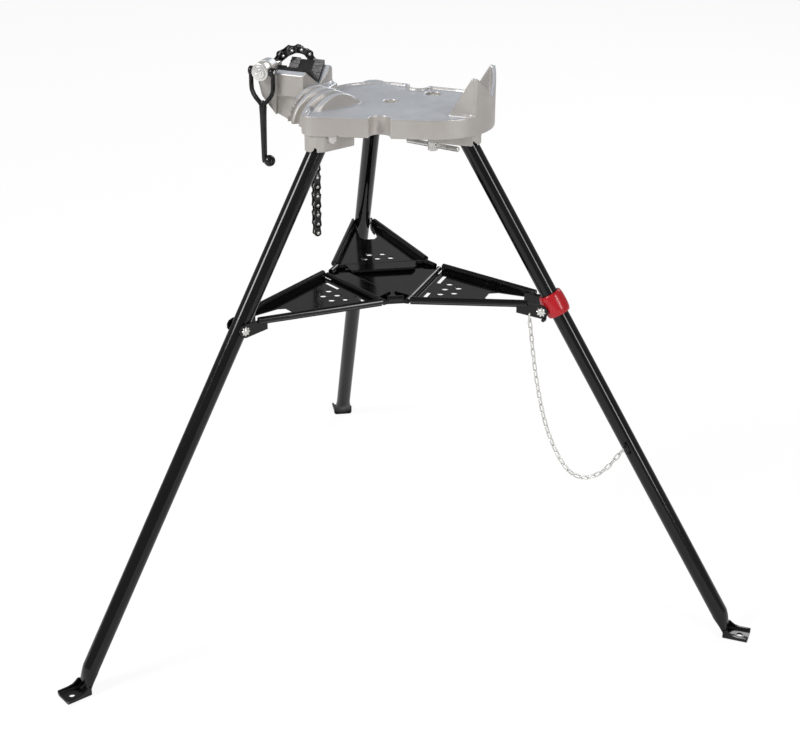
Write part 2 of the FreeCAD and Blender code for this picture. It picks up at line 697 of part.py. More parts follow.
def tray_pan():
    """Middle pan: a clipped triangle with knuckles on its long sides and rims on its short ones."""
    half = TRAY_HINGE_WIDTH / 2
    edge = TRAY_HINGE_RADIUS - TRAY_KNUCKLE / 2 - 1.0
    corners = []
    for azimuth in (0, 120, 240):
        a = math.radians(azimuth)
        for side in (-half, half):
            x = edge * math.cos(a) - side * math.sin(a)
            y = edge * math.sin(a) + side * math.cos(a)
            corners.append((x, y, TRAY_FLOOR_Z))
    pieces = [prism(corners, V(0, 0, TRAY_SHEET))]
    for k in range(3):
        start = V(*corners[2 * k + 1])
        end = V(*corners[(2 * k + 2) % 6])
        along = (end - start).normalize()
        inward = V(-along.y, along.x, 0)
        rim = prism(
            [start, end, end + inward * TRAY_SHEET, start + inward * TRAY_SHEET],
            V(0, 0, TRAY_Z + TRAY_BEAD_RISE - TRAY_FLOOR_Z),
        )
        lift = V(0, 0, TRAY_Z + TRAY_BEAD_RISE - TRAY_FLOOR_Z)
        bead = bar(start + lift + inward * 0.8, end + lift + inward * 0.8, TRAY_BEAD / 2 - 0.8, 6)
        pieces += [rim, bead]
    for azimuth in (0, 120, 240):
        for start_y in (-half, half - EAR_WIDTH):
            pieces += [turned(piece, azimuth) for piece in knuckle(start_y, EAR_WIDTH, -1)]
    pan = joined(*pieces)
    start = V(TRAY_HINGE_RADIUS, -half - 1, TRAY_Z)
    hole = bar_round(start, start + V(0, TRAY_HINGE_WIDTH + 2, 0), TRAY_HINGE_DIA / 2 + HINGE_FIT)
    for azimuth in (0, 120, 240):
        pan = pan.cut(turned(hole, azimuth))
    return pan


def arm_floor(kind):
    """Perforated sheet between hinge and fork, with the throat that the leg folds into."""
    pivot_x = fork_pivot_x(kind)
    gap = fork_half_gap(kind)
    start_x = TRAY_HINGE_RADIUS + TRAY_KNUCKLE / 2 + 1.0
    end_x = pivot_x - FORK_LENGTH
    half = TRAY_HINGE_WIDTH / 2
    floor = prism(
        [
            (start_x, -half, TRAY_FLOOR_Z),
            (end_x, -gap - TRAY_SHEET, TRAY_FLOOR_Z),
            (end_x, gap + TRAY_SHEET, TRAY_FLOOR_Z),
            (start_x, half, TRAY_FLOOR_Z),
        ],
        V(0, 0, TRAY_SHEET),
    )
    throat_x = pivot_x - THROAT_LENGTH
    throat = prism(
        [
            (throat_x, -gap, TRAY_FLOOR_Z - 1),
            (end_x + 1, -gap, TRAY_FLOOR_Z - 1),
            (end_x + 1, gap, TRAY_FLOOR_Z - 1),
            (throat_x, gap, TRAY_FLOOR_Z - 1),
            (throat_x - gap * 0.7, gap * 0.6, TRAY_FLOOR_Z - 1),
            (throat_x - gap * 0.7, -gap * 0.6, TRAY_FLOOR_Z - 1),
        ],
        V(0, 0, TRAY_SHEET + 2),
    )
    cutters = [throat]
    x = start_x + FLOOR_MARGIN + FLOOR_HOLE_PITCH
    for count in FLOOR_HOLE_ROWS:
        for k in range(count):
            y = (k - (count - 1) / 2) * FLOOR_HOLE_PITCH
            cutters.append(bar(V(x, y, TRAY_FLOOR_Z - 2), V(x, y, TRAY_FLOOR_Z + 4), FLOOR_HOLE_DIA / 2))
        x += FLOOR_HOLE_PITCH * 0.87
    for side in (-1, 1):
        low = V(start_x + FLOOR_MARGIN, side * half * 0.5 - FLOOR_SLOT / 2, TRAY_FLOOR_Z - 1)
        cutters.append(Part.makeBox(FLOOR_HOLE_DIA * 0.6, FLOOR_SLOT, TRAY_SHEET + 2, low))
    return floor.cut(cutters)


def fork_cheek(start_x, pivot_x, y, side):
    """Upright plate beside the leg with a rounded end round its pivot."""
    r = FORK_HEIGHT / 2
    outline = [(start_x, y, PIVOT_Z - r * 0.6), (start_x, y, PIVOT_Z + r)]
    for degrees in (90, 50, 17, -17, -50, -90):
        a = math.radians(degrees)
        outline.append((pivot_x + r * math.cos(a), y, PIVOT_Z + r * math.sin(a)))
    return prism(outline, V(0, side * FORK_SHEET, 0))


def tray_arm(kind):
    """One arm that points along +X, with rolled rims, tongue over the pan and fork at the leg."""
    pivot = V(fork_pivot_x(kind), 0, PIVOT_Z)
    gap = fork_half_gap(kind)
    start_x = TRAY_HINGE_RADIUS + TRAY_KNUCKLE / 2 + 1.0
    end_x = pivot.x - FORK_LENGTH
    half = TRAY_HINGE_WIDTH / 2
    rim_z = TRAY_Z + TRAY_BEAD_RISE
    barrel = TRAY_HINGE_WIDTH / 2 - EAR_WIDTH - TRAY_FIT
    pieces = [arm_floor(kind)] + knuckle(-barrel, 2 * barrel, 1)
    for side in (-1, 1):
        root = V(start_x, side * half, TRAY_FLOOR_Z)
        tip = V(end_x, side * (gap + TRAY_SHEET), TRAY_FLOOR_Z)
        along = (tip - root).normalize()
        inward = V(-along.y, along.x, 0) * side * -1
        lift = V(0, 0, rim_z - TRAY_FLOOR_Z)
        wall = prism([root, tip, tip + inward * TRAY_SHEET, root + inward * TRAY_SHEET], lift)
        outward = inward * (TRAY_SHEET - TRAY_BEAD / 2)
        bead = bar(root + lift + outward, tip + lift + outward, TRAY_BEAD / 2)
        pieces += [wall, bead, fork_cheek(end_x - FORK_OVERLAP, pivot.x, side * gap, side)]
    tongue_z = TRAY_Z + TRAY_KNUCKLE / 2 - TRAY_SHEET
    tongue_half = TRAY_HINGE_WIDTH / 2 - TONGUE_INSET
    tongue = prism(
        [
            (TRAY_HINGE_RADIUS, -tongue_half, tongue_z),
            (TRAY_HINGE_RADIUS, tongue_half, tongue_z),
            (TRAY_HINGE_RADIUS - TONGUE_LENGTH, tongue_half - 6, tongue_z),
            (TRAY_HINGE_RADIUS - TONGUE_LENGTH, -tongue_half + 6, tongue_z),
        ],
        V(0, 0, TRAY_SHEET),
    )
    curl_x = TRAY_HINGE_RADIUS - TONGUE_LENGTH
    curl_z = tongue_z + TRAY_SHEET - TONGUE_CURL / 2
    curl = bar(V(curl_x, -tongue_half + 6, curl_z), V(curl_x, tongue_half - 6, curl_z), TONGUE_CURL / 2, 6)
    pieces += [tongue, curl]
    arm = joined(*pieces)
    for start_y in (-half, half - EAR_WIDTH):
        start = V(TRAY_HINGE_RADIUS, start_y - TRAY_FIT, TRAY_Z)
        end = start + V(0, EAR_WIDTH + 2 * TRAY_FIT, 0)
        arm = arm.cut(bar_round(start, end, TRAY_KNUCKLE / 2 + TRAY_FIT))
    arm = arm.cut(hinge_bore())
    arm = arm.cut(bar(pivot - V(0, 50, 0), pivot + V(0, 50, 0), RIVET_DIA / 2))
    if kind == "right":
        hook_at = hook_hole_centre()
        arm = arm.cut(bar(hook_at - V(0, 4, 0), hook_at + V(0, 4, 0), HOOK_WIRE / 2 + TRAY_FIT))
    return arm


def tray_hinge_pin():
    length = TRAY_HINGE_WIDTH + 3
    pin = Part.makeCylinder(TRAY_HINGE_DIA / 2, length, V(TRAY_HINGE_RADIUS, -length / 2, TRAY_Z), Y_AXIS)
    return pin


def arm_rivets(kind):
    """Two rivets, one in each cheek, each under a push-on cap."""
    pivot = V(fork_pivot_x(kind), 0, PIVOT_Z)
    gap = fork_half_gap(kind)
    rivets = []
    for side in (-1, 1):
        inner = pivot + V(0, side * (gap - FORK_FIT + RIVET_FIT), 0)
        face = pivot + V(0, side * (gap + FORK_SHEET), 0)
        shank = bar(inner, face, RIVET_DIA / 2 - 0.5)
        cap = bar(face, face + V(0, side * RIVET_CAP, 0), RIVET_CAP_DIA / 2)
        rivets.append(joined(shank, cap))
    return rivets


# ---------------------------------------------------------------- collar and latch on the right leg
def collar_frame():
    """Centre of the collar on the tube, and the tube's direction downwards."""
    down = V(math.sin(SPLAY), 0, -math.cos(SPLAY))
    hinge = V(HINGE_RADIUS, 0, HINGE_Z)
    pivot = V(fork_pivot_x("right"), 0, PIVOT_Z)
    return hinge + down * (pivot - hinge).dot(down), down, pivot


def leg_collar():
    """Red split sleeve on the tube with an ear towards the tray."""
    centre, down, pivot = collar_frame()
    outer = TUBE_RADIUS + COLLAR_FIT + COLLAR_WALL
    half = down * (COLLAR_LENGTH / 2)
    sleeve = bar(centre - half, centre + half, outer, DRUM_SIDES)
    ear = bar(pivot - V(0, EAR_THICKNESS / 2, 0), pivot + V(0, EAR_THICKNESS / 2, 0), COLLAR_EAR_RADIUS)
    width = COLLAR_EAR_RADIUS
    web = prism(
        [
            pivot + down * width - V(0, EAR_THICKNESS / 2, 0),
            pivot - down * width - V(0, EAR_THICKNESS / 2, 0),
            centre - down * width - V(0, EAR_THICKNESS / 2, 0),
            centre + down * width - V(0, EAR_THICKNESS / 2, 0),
        ],
        V(0, EAR_THICKNESS, 0),
    )
    collar = joined(sleeve, ear, web)
    collar = collar.cut(bar_round(centre - half * 2, centre + half * 2, TUBE_RADIUS + COLLAR_FIT, DRUM_SIDES))
    face = V(pivot.x, EAR_THICKNESS / 2, pivot.z)
    collar = collar.cut(bar_round(face, face + V(0, 30, 0), LEVER_WIDTH / 2 + LEVER_ROOM))
    screw = collar_screw_axis()
    collar = collar.cut(bar(screw[0] - screw[1] * 30, screw[0], COLLAR_SCREW_DIA / 2))
    return collar


def collar_screw_axis():
    """Outer end and inward direction of the set screw behind the collar."""
    centre, down, _ = collar_frame()
    across = V(down.z, 0, -down.x)
    outward = (V(0, 1, 0) * 0.9 - across * 0.3).normalize()
    return centre + outward * (TUBE_RADIUS + COLLAR_FIT), outward * -1


def collar_screw():
    end, inward = collar_screw_axis()
    return bar(end - inward * (COLLAR_WALL + COLLAR_SCREW_HEAD), end, COLLAR_SCREW_DIA / 2)


def latch_lever():
    """Flat lever beside the collar's ear, with a thumb nub at its lower end."""
    _, _, pivot = collar_frame()
    r = LEVER_WIDTH / 2
    y = pivot.y + EAR_THICKNESS / 2 + LATCH_PLAY
    outline = []
    for centre, first in ((LEVER_LENGTH, -60), (0.0, 120)):
        for k in range(3):
            a = math.radians(first + 60 * k)
            outline.append((centre + r * math.cos(a), 0, r * math.sin(a)))
    plate = prism(outline, V(0, LEVER_SHEET, 0))
    nub = bar(V(LEVER_LENGTH, LEVER_SHEET, 0), V(LEVER_LENGTH, -LEVER_NUB, 0), r * 0.8)
    bore = Part.makeCylinder(LATCH_PIN_DIA / 2 + HINGE_FIT, 20, V(0, -10, 0), Y_AXIS)
    lever = turned(joined(plate, nub).cut(bore), 97, Y_AXIS)
    return moved(lever, V(pivot.x, y, pivot.z))


def latch_pin():
    """Pin on the ear that the lever swings on."""
    _, _, pivot = collar_frame()
    start = V(pivot.x, EAR_THICKNESS / 2, pivot.z)
    top = start + V(0, LEVER_SHEET + 2 * LATCH_PLAY, 0)
    shank = cylinder_between(start, top, LATCH_PIN_DIA / 2)
    return joined(shank, bar(top, top + V(0, 1.5, 0), LATCH_PIN_DIA * 0.8))


# ---------------------------------------------------------------- storage chain
def tie_hook():
    """S-hook through the fork's cheek; the chain hangs in its lower bow."""
    at = hook_hole_centre()
    bow = HOOK_WIRE + 1.0
    low = TIE_ROUTE[0][1]
    route = [
        at + V(0, bow, -bow),
        at + V(0, FORK_SHEET / 2 + 0.4, 0),
        at + V(0, -FORK_SHEET / 2 - 0.4, 0),
        at + V(0, -bow, -bow),
        V(at.x, at.y - bow, low + bow),
        V(at.x, at.y - HOOK_WIRE / 2, low),
        V(at.x, at.y + HOOK_WIRE / 2, low),
        V(at.x, at.y + bow, low + bow),
    ]
    path = Part.makePolygon(route)
    side = HOOK_WIRE / 2
    tangent = (route[1] - route[0]).normalize()
    across = tangent.cross(X_AXIS)
    start = route[0]
    section = [start + X_AXIS * side, start + across * side, start - X_AXIS * side, start - across * side]
    return path.makePipeShell([Part.makePolygon(section + section[:1])], True, True, 1)


def tie_chain():
    """Storage chain from the hook to the staple as a plain cord of straight stretches."""
    points = [V(HINGE_RADIUS + x, TIE_Y, z) for x, z in TIE_ROUTE]
    stretches = []
    for start, end in zip(points, points[1:]):
        along = (end - start).normalize()
        stretches.append(bar(start - along * TIE_WIRE * 0.4, end + along * TIE_WIRE * 0.4, TIE_CORD / 2, 6))
    top = V(points[0].x - TIE_CORD, TIE_Y - TIE_CORD, points[0].z - HOOK_WIRE / 2 - TIE_GAP)
    return joined(*stretches).cut(Part.makeBox(2 * TIE_CORD, 2 * TIE_CORD, 2 * TIE_CORD, top))


def tie_staple():
    """Wire bow welded on the front of the right leg."""
    z = TIE_ROUTE[-1][1]
    along = V(math.sin(SPLAY), 0, -math.cos(SPLAY))
    middle = V(leg_radius_at(z), 0, z)
    foot = middle - V(0, TUBE_RADIUS + STAPLE_FIT, 0)
    bow_y = TIE_Y - TIE_CORD / 2 - STAPLE_WIRE / 2
    ends = []
    pieces = []
    for side in (-1, 1):
        end = foot + along * (side * STAPLE_SPAN / 2)
        ends.append(V(end.x, bow_y, end.z))
        pieces.append(bar(end, ends[-1] - V(0, STAPLE_WIRE / 2, 0), STAPLE_WIRE / 2, 4))
    pieces.append(bar(ends[0] - along * 2, ends[1] + along * 2, STAPLE_WIRE / 2, 4))
    return joined(*pieces)


# ---------------------------------------------------------------- ceiling brace screw
def brace_head_z():
    return TABLE_TOP_Z - BRACE_HEAD_DROP


def brace_screw():
    top = TABLE_TOP_Z - BRACE_TIP_DROP
    bottom = brace_head_z() - BRACE_HEAD / 2
    screw = Part.makeCylinder(BRACE_DIA / 2, top - bottom, V(BRACE_X, BRACE_Y, bottom))
    hole = turned(bar(V(-BRACE_DIA, 0, 0), V(BRACE_DIA, 0, 0), TBAR_DIA / 2 + BRACE_FIT), TBAR_AZIMUTH)
    return screw.cut(moved(hole, V(BRACE_X, BRACE_Y, brace_head_z())))


def brace_tbar():
    """Sliding crossbar with swollen ends that keep it in the screw's head."""
    pieces = [bar(V(-TBAR_LENGTH / 2, 0, 0), V(TBAR_LENGTH / 2, 0, 0), TBAR_DIA / 2)]
    for side in (-1, 1):
        tip = V(side * TBAR_LENGTH / 2, 0, 0)
        pieces.append(bar(tip - V(side * TBAR_END, 0, 0), tip, TBAR_END_DIA / 2))
    crossbar = turned(joined(*pieces), TBAR_AZIMUTH)
    return moved(crossbar, V(BRACE_X, BRACE_Y, brace_head_z()))


# ---------------------------------------------------------------- vise jaw and bolts
def jaw_floor():
    """Height of the trough's valley that the jaw sits in."""
    return TABLE_TOP_Z + JAW_VALLEY - JAW_THICKNESS


def chain_jaw():
    """Steel V with two toothed bands; the middle is relieved for the chain."""
    slope = math.tan(math.radians(JAW_FLANK))
    under = jaw_floor() + TROUGH_FIT
    edge = under + JAW_HALF_SPAN * slope
    plain = [(-JAW_HALF_SPAN, edge), (0, under), (JAW_HALF_SPAN, edge)]
    over = jaw_floor() + JAW_THICKNESS
    step = JAW_HALF_SPAN / JAW_TEETH
    toothed = []
    for k in range(JAW_TEETH, 0, -1):
        toothed.append((k * step, over + k * step * slope))
        toothed.append(((k - 0.5) * step, over + (k - 0.5) * step * slope - JAW_TOOTH))
    profile = plain + toothed + [(0, over)] + [(-y, z) for y, z in reversed(toothed)]
    start = JAW_X - JAW_LENGTH / 2
    jaw = prism([(start, y, z) for y, z in profile], V(JAW_LENGTH, 0, 0))
    floor = over - JAW_TOOTH
    reach = JAW_HALF_SPAN + 2
    relief = prism(
        [
            (JAW_X - JAW_GAP / 2, -reach, floor + reach * slope),
            (JAW_X - JAW_GAP / 2, 0, floor),
            (JAW_X - JAW_GAP / 2, reach, floor + reach * slope),
            (JAW_X - JAW_GAP / 2, 0, floor + 60),
        ],
        V(JAW_GAP, 0, 0),
    )
    jaw = jaw.cut(relief)
    for k in (-1, 1):
        socket = V(JAW_X + k * BOLT_SPACING / 2, 0, jaw_floor() - 1)
        jaw = jaw.cut(bar(socket, socket + V(0, 0, BOLT_REACH), BOLT_DIA / 2))
    return jaw


def jaw_bolts():
    bolts = []
    for k in (-1, 1):
        x = JAW_X + k * BOLT_SPACING / 2
        head = hexagon(BOLT_HEAD_FLATS, BOLT_HEAD, V(x, 0, BOLT_SEAT_Z - BOLT_HEAD))
        shank = bar(V(x, 0, BOLT_SEAT_Z), V(x, 0, jaw_floor() - 1 + BOLT_REACH), BOLT_DIA / 2)
        bolts.append(joined(head, shank))
    return bolts


# ---------------------------------------------------------------- vise screw, nut and handle
def chain_screw():
    """Threaded rod with a round yoke that holds the chain's first link."""
    rod_end = YOKE_Y - YOKE_DIA / 2 + 2.0
    rod = Part.makeCylinder(SCREW_DIA / 2, rod_end - SCREW_END_Y, V(SCREW_X, SCREW_END_Y, SCREW_Z), Y_AXIS)
    base = V(SCREW_X, YOKE_Y, SCREW_Z - YOKE_HEIGHT / 2)
    yoke = bar(base, base + V(0, 0, YOKE_HEIGHT), YOKE_DIA / 2)
    screw = joined(rod, yoke)
    half = link_half_width(True) + 2 * CHAIN_GAP
    back = CHAIN_PLATE_HEIGHT / 2 + 1.0
    slot = Part.makeBox(YOKE_DIA, 2 * half, YOKE_HEIGHT + 2, V(-back, -half, -YOKE_HEIGHT / 2 - 1))
    return screw.cut(chain_placed(slot))


def handle_pivot():
    return V(SCREW_X, NUT_Y + NUT_LENGTH / 2, SCREW_Z)


def vise_nut():
    """Round nut with a raised ring on its outer face and a trunnion on each side for the handle."""
    face = V(SCREW_X, NUT_Y, SCREW_Z)
    body = bar(face, face + V(0, NUT_LENGTH, 0), NUT_DIA / 2, DRUM_SIDES)
    ring = bar(face - V(0, 2, 0), face, NUT_RING_DIA / 2, DRUM_SIDES)
    reach = NUT_DIA / 2 + HANDLE_FIT + EYE_THICKNESS + 1
    trunnions = Part.makeCylinder(TRUNNION_DIA / 2, 2 * reach, handle_pivot() - V(reach, 0, 0), X_AXIS)
    nut = joined(body, ring, trunnions)
    start = V(SCREW_X, NUT_Y - 5, SCREW_Z)
    return nut.cut(Part.makeCylinder(SCREW_DIA / 2 + SCREW_FIT, NUT_LENGTH + 10, start, Y_AXIS))


def handle_line():
    """Fork end and knob end of the straight shaft."""
    fork = handle_pivot() - V(0, 0, FORK_EYE)
    return fork, handle_pivot() + V(HANDLE_LEAN, 0, -HANDLE_DROP)


def handle_along():
    fork, end = handle_line()
    return (end - fork).normalize()


def vise_handle():
    """Forged fork that straddles the nut, with a shaft and a spigot for the knob."""
    fork, end = handle_line()
    inner = NUT_DIA / 2 + HANDLE_FIT
    pieces = []
    for side in (-1, 1):
        eye_at = handle_pivot() + V(side * inner, 0, 0)
        pieces.append(bar(eye_at, eye_at + V(side * EYE_THICKNESS, 0, 0), EYE_DIA / 2))
        hip = handle_pivot() + V(side * (inner + HANDLE_DIA / 2), 0, -6)
        knee = handle_pivot() + V(side * (inner + 1), 0, -24)
        pieces.append(bar(hip, knee - V(side * 0.5, 0, 2), HANDLE_DIA / 2))
        pieces.append(bar(knee + V(side * 2, 0, 2.5), fork, HANDLE_DIA / 2))
    along = handle_along()
    pieces.append(bar(fork - along * 3, end, HANDLE_DIA / 2))
    pieces.append(bar(end - along, end + along * KNOB_SPIGOT, KNOB_SPIGOT_DIA / 2))
    handle = joined(*pieces)
    turning = bar(handle_pivot() - V(0, NUT_LENGTH, 0), handle_pivot() + V(0, NUT_LENGTH, 0), inner / 0.92)
    clear = turning.common(Part.makeBox(2 * inner, 60, 60, handle_pivot() - V(inner, 30, 30)))
    reach = inner + EYE_THICKNESS + 2
    bore = Part.makeCylinder(TRUNNION_DIA / 2 + HINGE_FIT, 2 * reach, handle_pivot() - V(reach, 0, 0), X_AXIS)
    return handle.cut([clear, bore])


def handle_knob():
    """Ball lofted through flat-sided rounds, bored for the spigot."""
    _, end = handle_line()
    along = handle_along()
    r = KNOB_DIA / 2
    sections = []
    for at, radius in [(0, r * 0.6), (r * 0.5, r), (r * 1.2, r), (r * 1.7, r * 0.55)]:
        corners = []
        for k in range(BAR_SIDES + 1):
            a = 2 * math.pi * (k + 0.5) / BAR_SIDES
            corners.append(V(radius * math.cos(a), radius * math.sin(a), -at))
        sections.append(Part.makePolygon(corners))
    ball = Part.makeLoft(sections, True, True)
    ball.rotate(V(0, 0, 0), Y_AXIS, -math.degrees(math.atan2(along.x, -along.z)))
    return moved(ball, end).cut(bar(end - along, end + along * KNOB_SPIGOT, KNOB_SPIGOT_DIA / 2))


# ---------------------------------------------------------------- vise chain
def link_half_width(inner):
    """Outer face of a link's plates from the chain's middle plane."""
    if inner:
        return CHAIN_INNER / 2 + CHAIN_PLATE
    return CHAIN_INNER / 2 + 2 * CHAIN_PLATE + CHAIN_GAP


def chain_placed(shape):
    """Turns a shape drawn in the XZ plane round the first pin into the chain's plane."""
    copy = turned(shape, 90 - CHAIN_TURN)
    copy.translate(V(SCREW_X, YOKE_Y, SCREW_Z))
    return copy


def chain_pins(headings, start):
    """Pin positions in the chain's plane, one more than the links."""
    points = [start]
    for heading in headings:
        a = math.radians(heading)
        points.append(points[-1] + V(CHAIN_PITCH * math.cos(a), 0, CHAIN_PITCH * math.sin(a)))
    return points


def link_plates(start, heading, inner):
    """The two side plates of one link."""
    r = CHAIN_PLATE_HEIGHT / 2
    outline = []
    for centre_x, first in ((CHAIN_PITCH, -90), (0, 90)):
        for k in range(3):
            a = math.radians(first + 90 * k)
            reach = r if k == 1 else r * 0.9
            outline.append((centre_x + reach * math.cos(a), 0, reach * math.sin(a)))
    plates = []
    face = link_half_width(inner)
    for y in (-face, face - CHAIN_PLATE):
        plate = prism([(x, y, z) for x, _, z in outline], V(0, CHAIN_PLATE, 0))
        plate.rotate(V(0, 0, 0), Y_AXIS, -heading)
        plate.translate(start)
        plates.append(chain_placed(plate))
    return plates


def chain_run(headings, start, first_inner):
    """Plates and rollers of one run; the rollers sit between the inner plates."""
    points = chain_pins(headings, start)
    plates = []
    rollers = []
    for k, heading in enumerate(headings):
        inner = (k % 2 == 0) == first_inner
        plates += link_plates(points[k], heading, inner)
        if inner:
            for point in (points[k], points[k + 1]):
                half = V(0, CHAIN_INNER / 2, 0)
                rollers.append(chain_placed(bar(point - half, point + half, CHAIN_ROLLER_DIA / 2, 6)))
    return plates, rollers, points[-1]


os.makedirs("parts", exist_ok=True)
save("table_casting", table_casting())
for name, azimuth in LEG_AZIMUTHS.items():
    save("leg_" + name, turned(leg(), azimuth))
save("leg_hinge_pins", *[turned(leg_hinge_pin(), azimuth) for azimuth in LEG_AZIMUTHS.values()])
save("tray_pan", tray_pan())
for name, azimuth in LEG_AZIMUTHS.items():
    save("tray_arm_" + name, turned(tray_arm(name), azimuth))
    save("arm_rivets_" + name, *[turned(rivet, azimuth) for rivet in arm_rivets(name)])
save("tray_hinge_pins", *[turned(tray_hinge_pin(), azimuth) for azimuth in LEG_AZIMUTHS.values()])
save("leg_collar", leg_collar())
save("collar_screw", collar_screw())
save("latch_lever", latch_lever())
save("latch_pin", latch_pin())
save("tie_hook", tie_hook())
save("tie_chain", tie_chain())
save("tie_staple", tie_staple())
save("brace_screw", brace_screw())
save("brace_tbar", brace_tbar())
save("chain_jaw", chain_jaw())
save("jaw_bolts", *jaw_bolts())
save("chain_screw", chain_screw())
save("vise_nut", vise_nut())
save("vise_handle", vise_handle())
save("handle_knob", handle_knob())
run_start = V(0, 0, 0)
runs = {"drape": DRAPE_HEADINGS, "tail": [-90] * TAIL_LINKS, "tail_end": [-90] * TAIL_END_LINKS}
for name, headings in runs.items():
    plates, rollers, run_start = chain_run(headings, run_start, True)
    save(name + "_plates", *plates)
    save(name + "_rollers", *rollers)
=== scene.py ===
"""Looks of the tripod pipe vise stand. Metres, in the frame of its model."""
import json
import math

import bmesh
import bpy
from mathutils import Matrix, Vector


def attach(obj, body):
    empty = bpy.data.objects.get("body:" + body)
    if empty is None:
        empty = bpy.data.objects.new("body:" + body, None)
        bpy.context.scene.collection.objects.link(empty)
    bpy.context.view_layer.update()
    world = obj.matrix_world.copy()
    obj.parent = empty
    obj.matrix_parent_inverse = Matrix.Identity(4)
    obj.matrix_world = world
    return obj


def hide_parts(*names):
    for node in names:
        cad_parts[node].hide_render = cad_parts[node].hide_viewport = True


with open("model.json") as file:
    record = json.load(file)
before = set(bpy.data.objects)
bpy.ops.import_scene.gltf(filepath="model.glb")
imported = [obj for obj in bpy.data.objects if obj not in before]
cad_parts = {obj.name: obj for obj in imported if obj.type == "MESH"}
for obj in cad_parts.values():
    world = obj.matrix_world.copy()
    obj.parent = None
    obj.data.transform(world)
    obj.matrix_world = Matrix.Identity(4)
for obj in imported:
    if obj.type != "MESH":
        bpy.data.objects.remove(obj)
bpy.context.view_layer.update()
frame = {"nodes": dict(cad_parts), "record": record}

MM = 0.001
X_AXIS = Vector((1.0, 0.0, 0.0))
Y_AXIS = Vector((0.0, 1.0, 0.0))
Z_AXIS = Vector((0.0, 0.0, 1.0))
LEG_AZIMUTHS = {"right": 0.0, "rear": 120.0, "front": -120.0}
STAND_AXIS = Vector((-0.150045, 0.0, 0.0))   # middle of the three legs in the model's frame


def place(x, y, z, azimuth=0.0):
    """A point in millimetres about the stand's own axis, turned to a leg's azimuth."""
    return STAND_AXIS + Matrix.Rotation(math.radians(azimuth), 3, "Z") @ Vector((x, y, z)) * MM


def heading(x, y, z, azimuth=0.0):
    """A direction of length one, turned to an azimuth."""
    return Matrix.Rotation(math.radians(azimuth), 3, "Z") @ Vector((x, y, z)).normalized()


# ---------------------------------------------------------------- camera
CAMERA_PLACE = place(886.8, -2278.9, 1512.6)
CAMERA_YAW = -0.36192                # about the vertical, from +Y
CAMERA_PITCH = -0.43920
CAMERA_ROLL = 0.00484
CAMERA_LENS = 73.576                 # mm on the sensor below
SENSOR_WIDTH = 36.0


def make_camera():
    data = bpy.data.cameras.new("camera")
    data.lens = CAMERA_LENS
    data.sensor_width = SENSOR_WIDTH
    camera = bpy.data.objects.new("camera", data)
    bpy.context.scene.collection.objects.link(camera)
    level = math.cos(CAMERA_PITCH)
    forward = Vector((math.sin(CAMERA_YAW) * level, math.cos(CAMERA_YAW) * level, math.sin(CAMERA_PITCH)))
    right = Vector((math.cos(CAMERA_YAW), -math.sin(CAMERA_YAW), 0.0))
    up = right.cross(forward)
    c, s = math.cos(CAMERA_ROLL), math.sin(CAMERA_ROLL)
    right, up = right * c + up * s, up * c - right * s
    turn = Matrix((right, up, -forward)).transposed().to_4x4()
    camera.matrix_world = Matrix.Translation(CAMERA_PLACE) @ turn
    bpy.context.scene.camera = camera


# ---------------------------------------------------------------- materials
NOISE_SPAN = (0.3, 0.7)              # where most values of a noise lie


class Look:
    """A procedural material: principled shader with noise in its colour, roughness and normal."""

    def __init__(self, name, rough, metallic=0.0):
        self.material = bpy.data.materials.new(name)
        self.material.use_nodes = True
        self.tree = self.material.node_tree
        self.shader = self.tree.nodes["Principled BSDF"]
        self.shader.inputs["Roughness"].default_value = rough
        self.shader.inputs["Metallic"].default_value = metallic
        self.coords = self.tree.nodes.new("ShaderNodeTexCoord")
        self.last_normal = None

    def link(self, a, b):
        self.tree.links.new(a, b)

    def noise(self, scale, detail=4.0, rough=0.6):
        node = self.tree.nodes.new("ShaderNodeTexNoise")
        node.inputs["Scale"].default_value = scale
        node.inputs["Detail"].default_value = detail
        node.inputs["Roughness"].default_value = rough
        self.link(self.coords.outputs["Object"], node.inputs["Vector"])
        return node.outputs["Fac"]

    def spread(self, source, low, high, to_low, to_high):
        node = self.tree.nodes.new("ShaderNodeMapRange")
        node.inputs["From Min"].default_value = low
        node.inputs["From Max"].default_value = high
        node.inputs["To Min"].default_value = to_low
        node.inputs["To Max"].default_value = to_high
        self.link(source, node.inputs["Value"])
        return node.outputs["Result"]

    def colours(self, source, stops):
        ramp = self.tree.nodes.new("ShaderNodeValToRGB")
        while len(ramp.color_ramp.elements) < len(stops):
            ramp.color_ramp.elements.new(0.5)
        for element, (at, colour) in zip(ramp.color_ramp.elements, stops):
            element.position = at
            element.color = (*colour, 1.0)
        self.link(source, ramp.inputs["Fac"])
        self.link(ramp.outputs["Color"], self.shader.inputs["Base Color"])

    def roughness(self, source, low, high):
        self.link(self.spread(source, *NOISE_SPAN, low, high), self.shader.inputs["Roughness"])

    def bump(self, source, strength, distance):
        node = self.tree.nodes.new("ShaderNodeBump")
        node.inputs["Strength"].default_value = strength
        node.inputs["Distance"].default_value = distance
        self.link(source, node.inputs["Height"])
        if self.last_normal:
            self.link(self.last_normal, node.inputs["Normal"])
        self.last_normal = node.outputs["Normal"]
        self.link(self.last_normal, self.shader.inputs["Normal"])


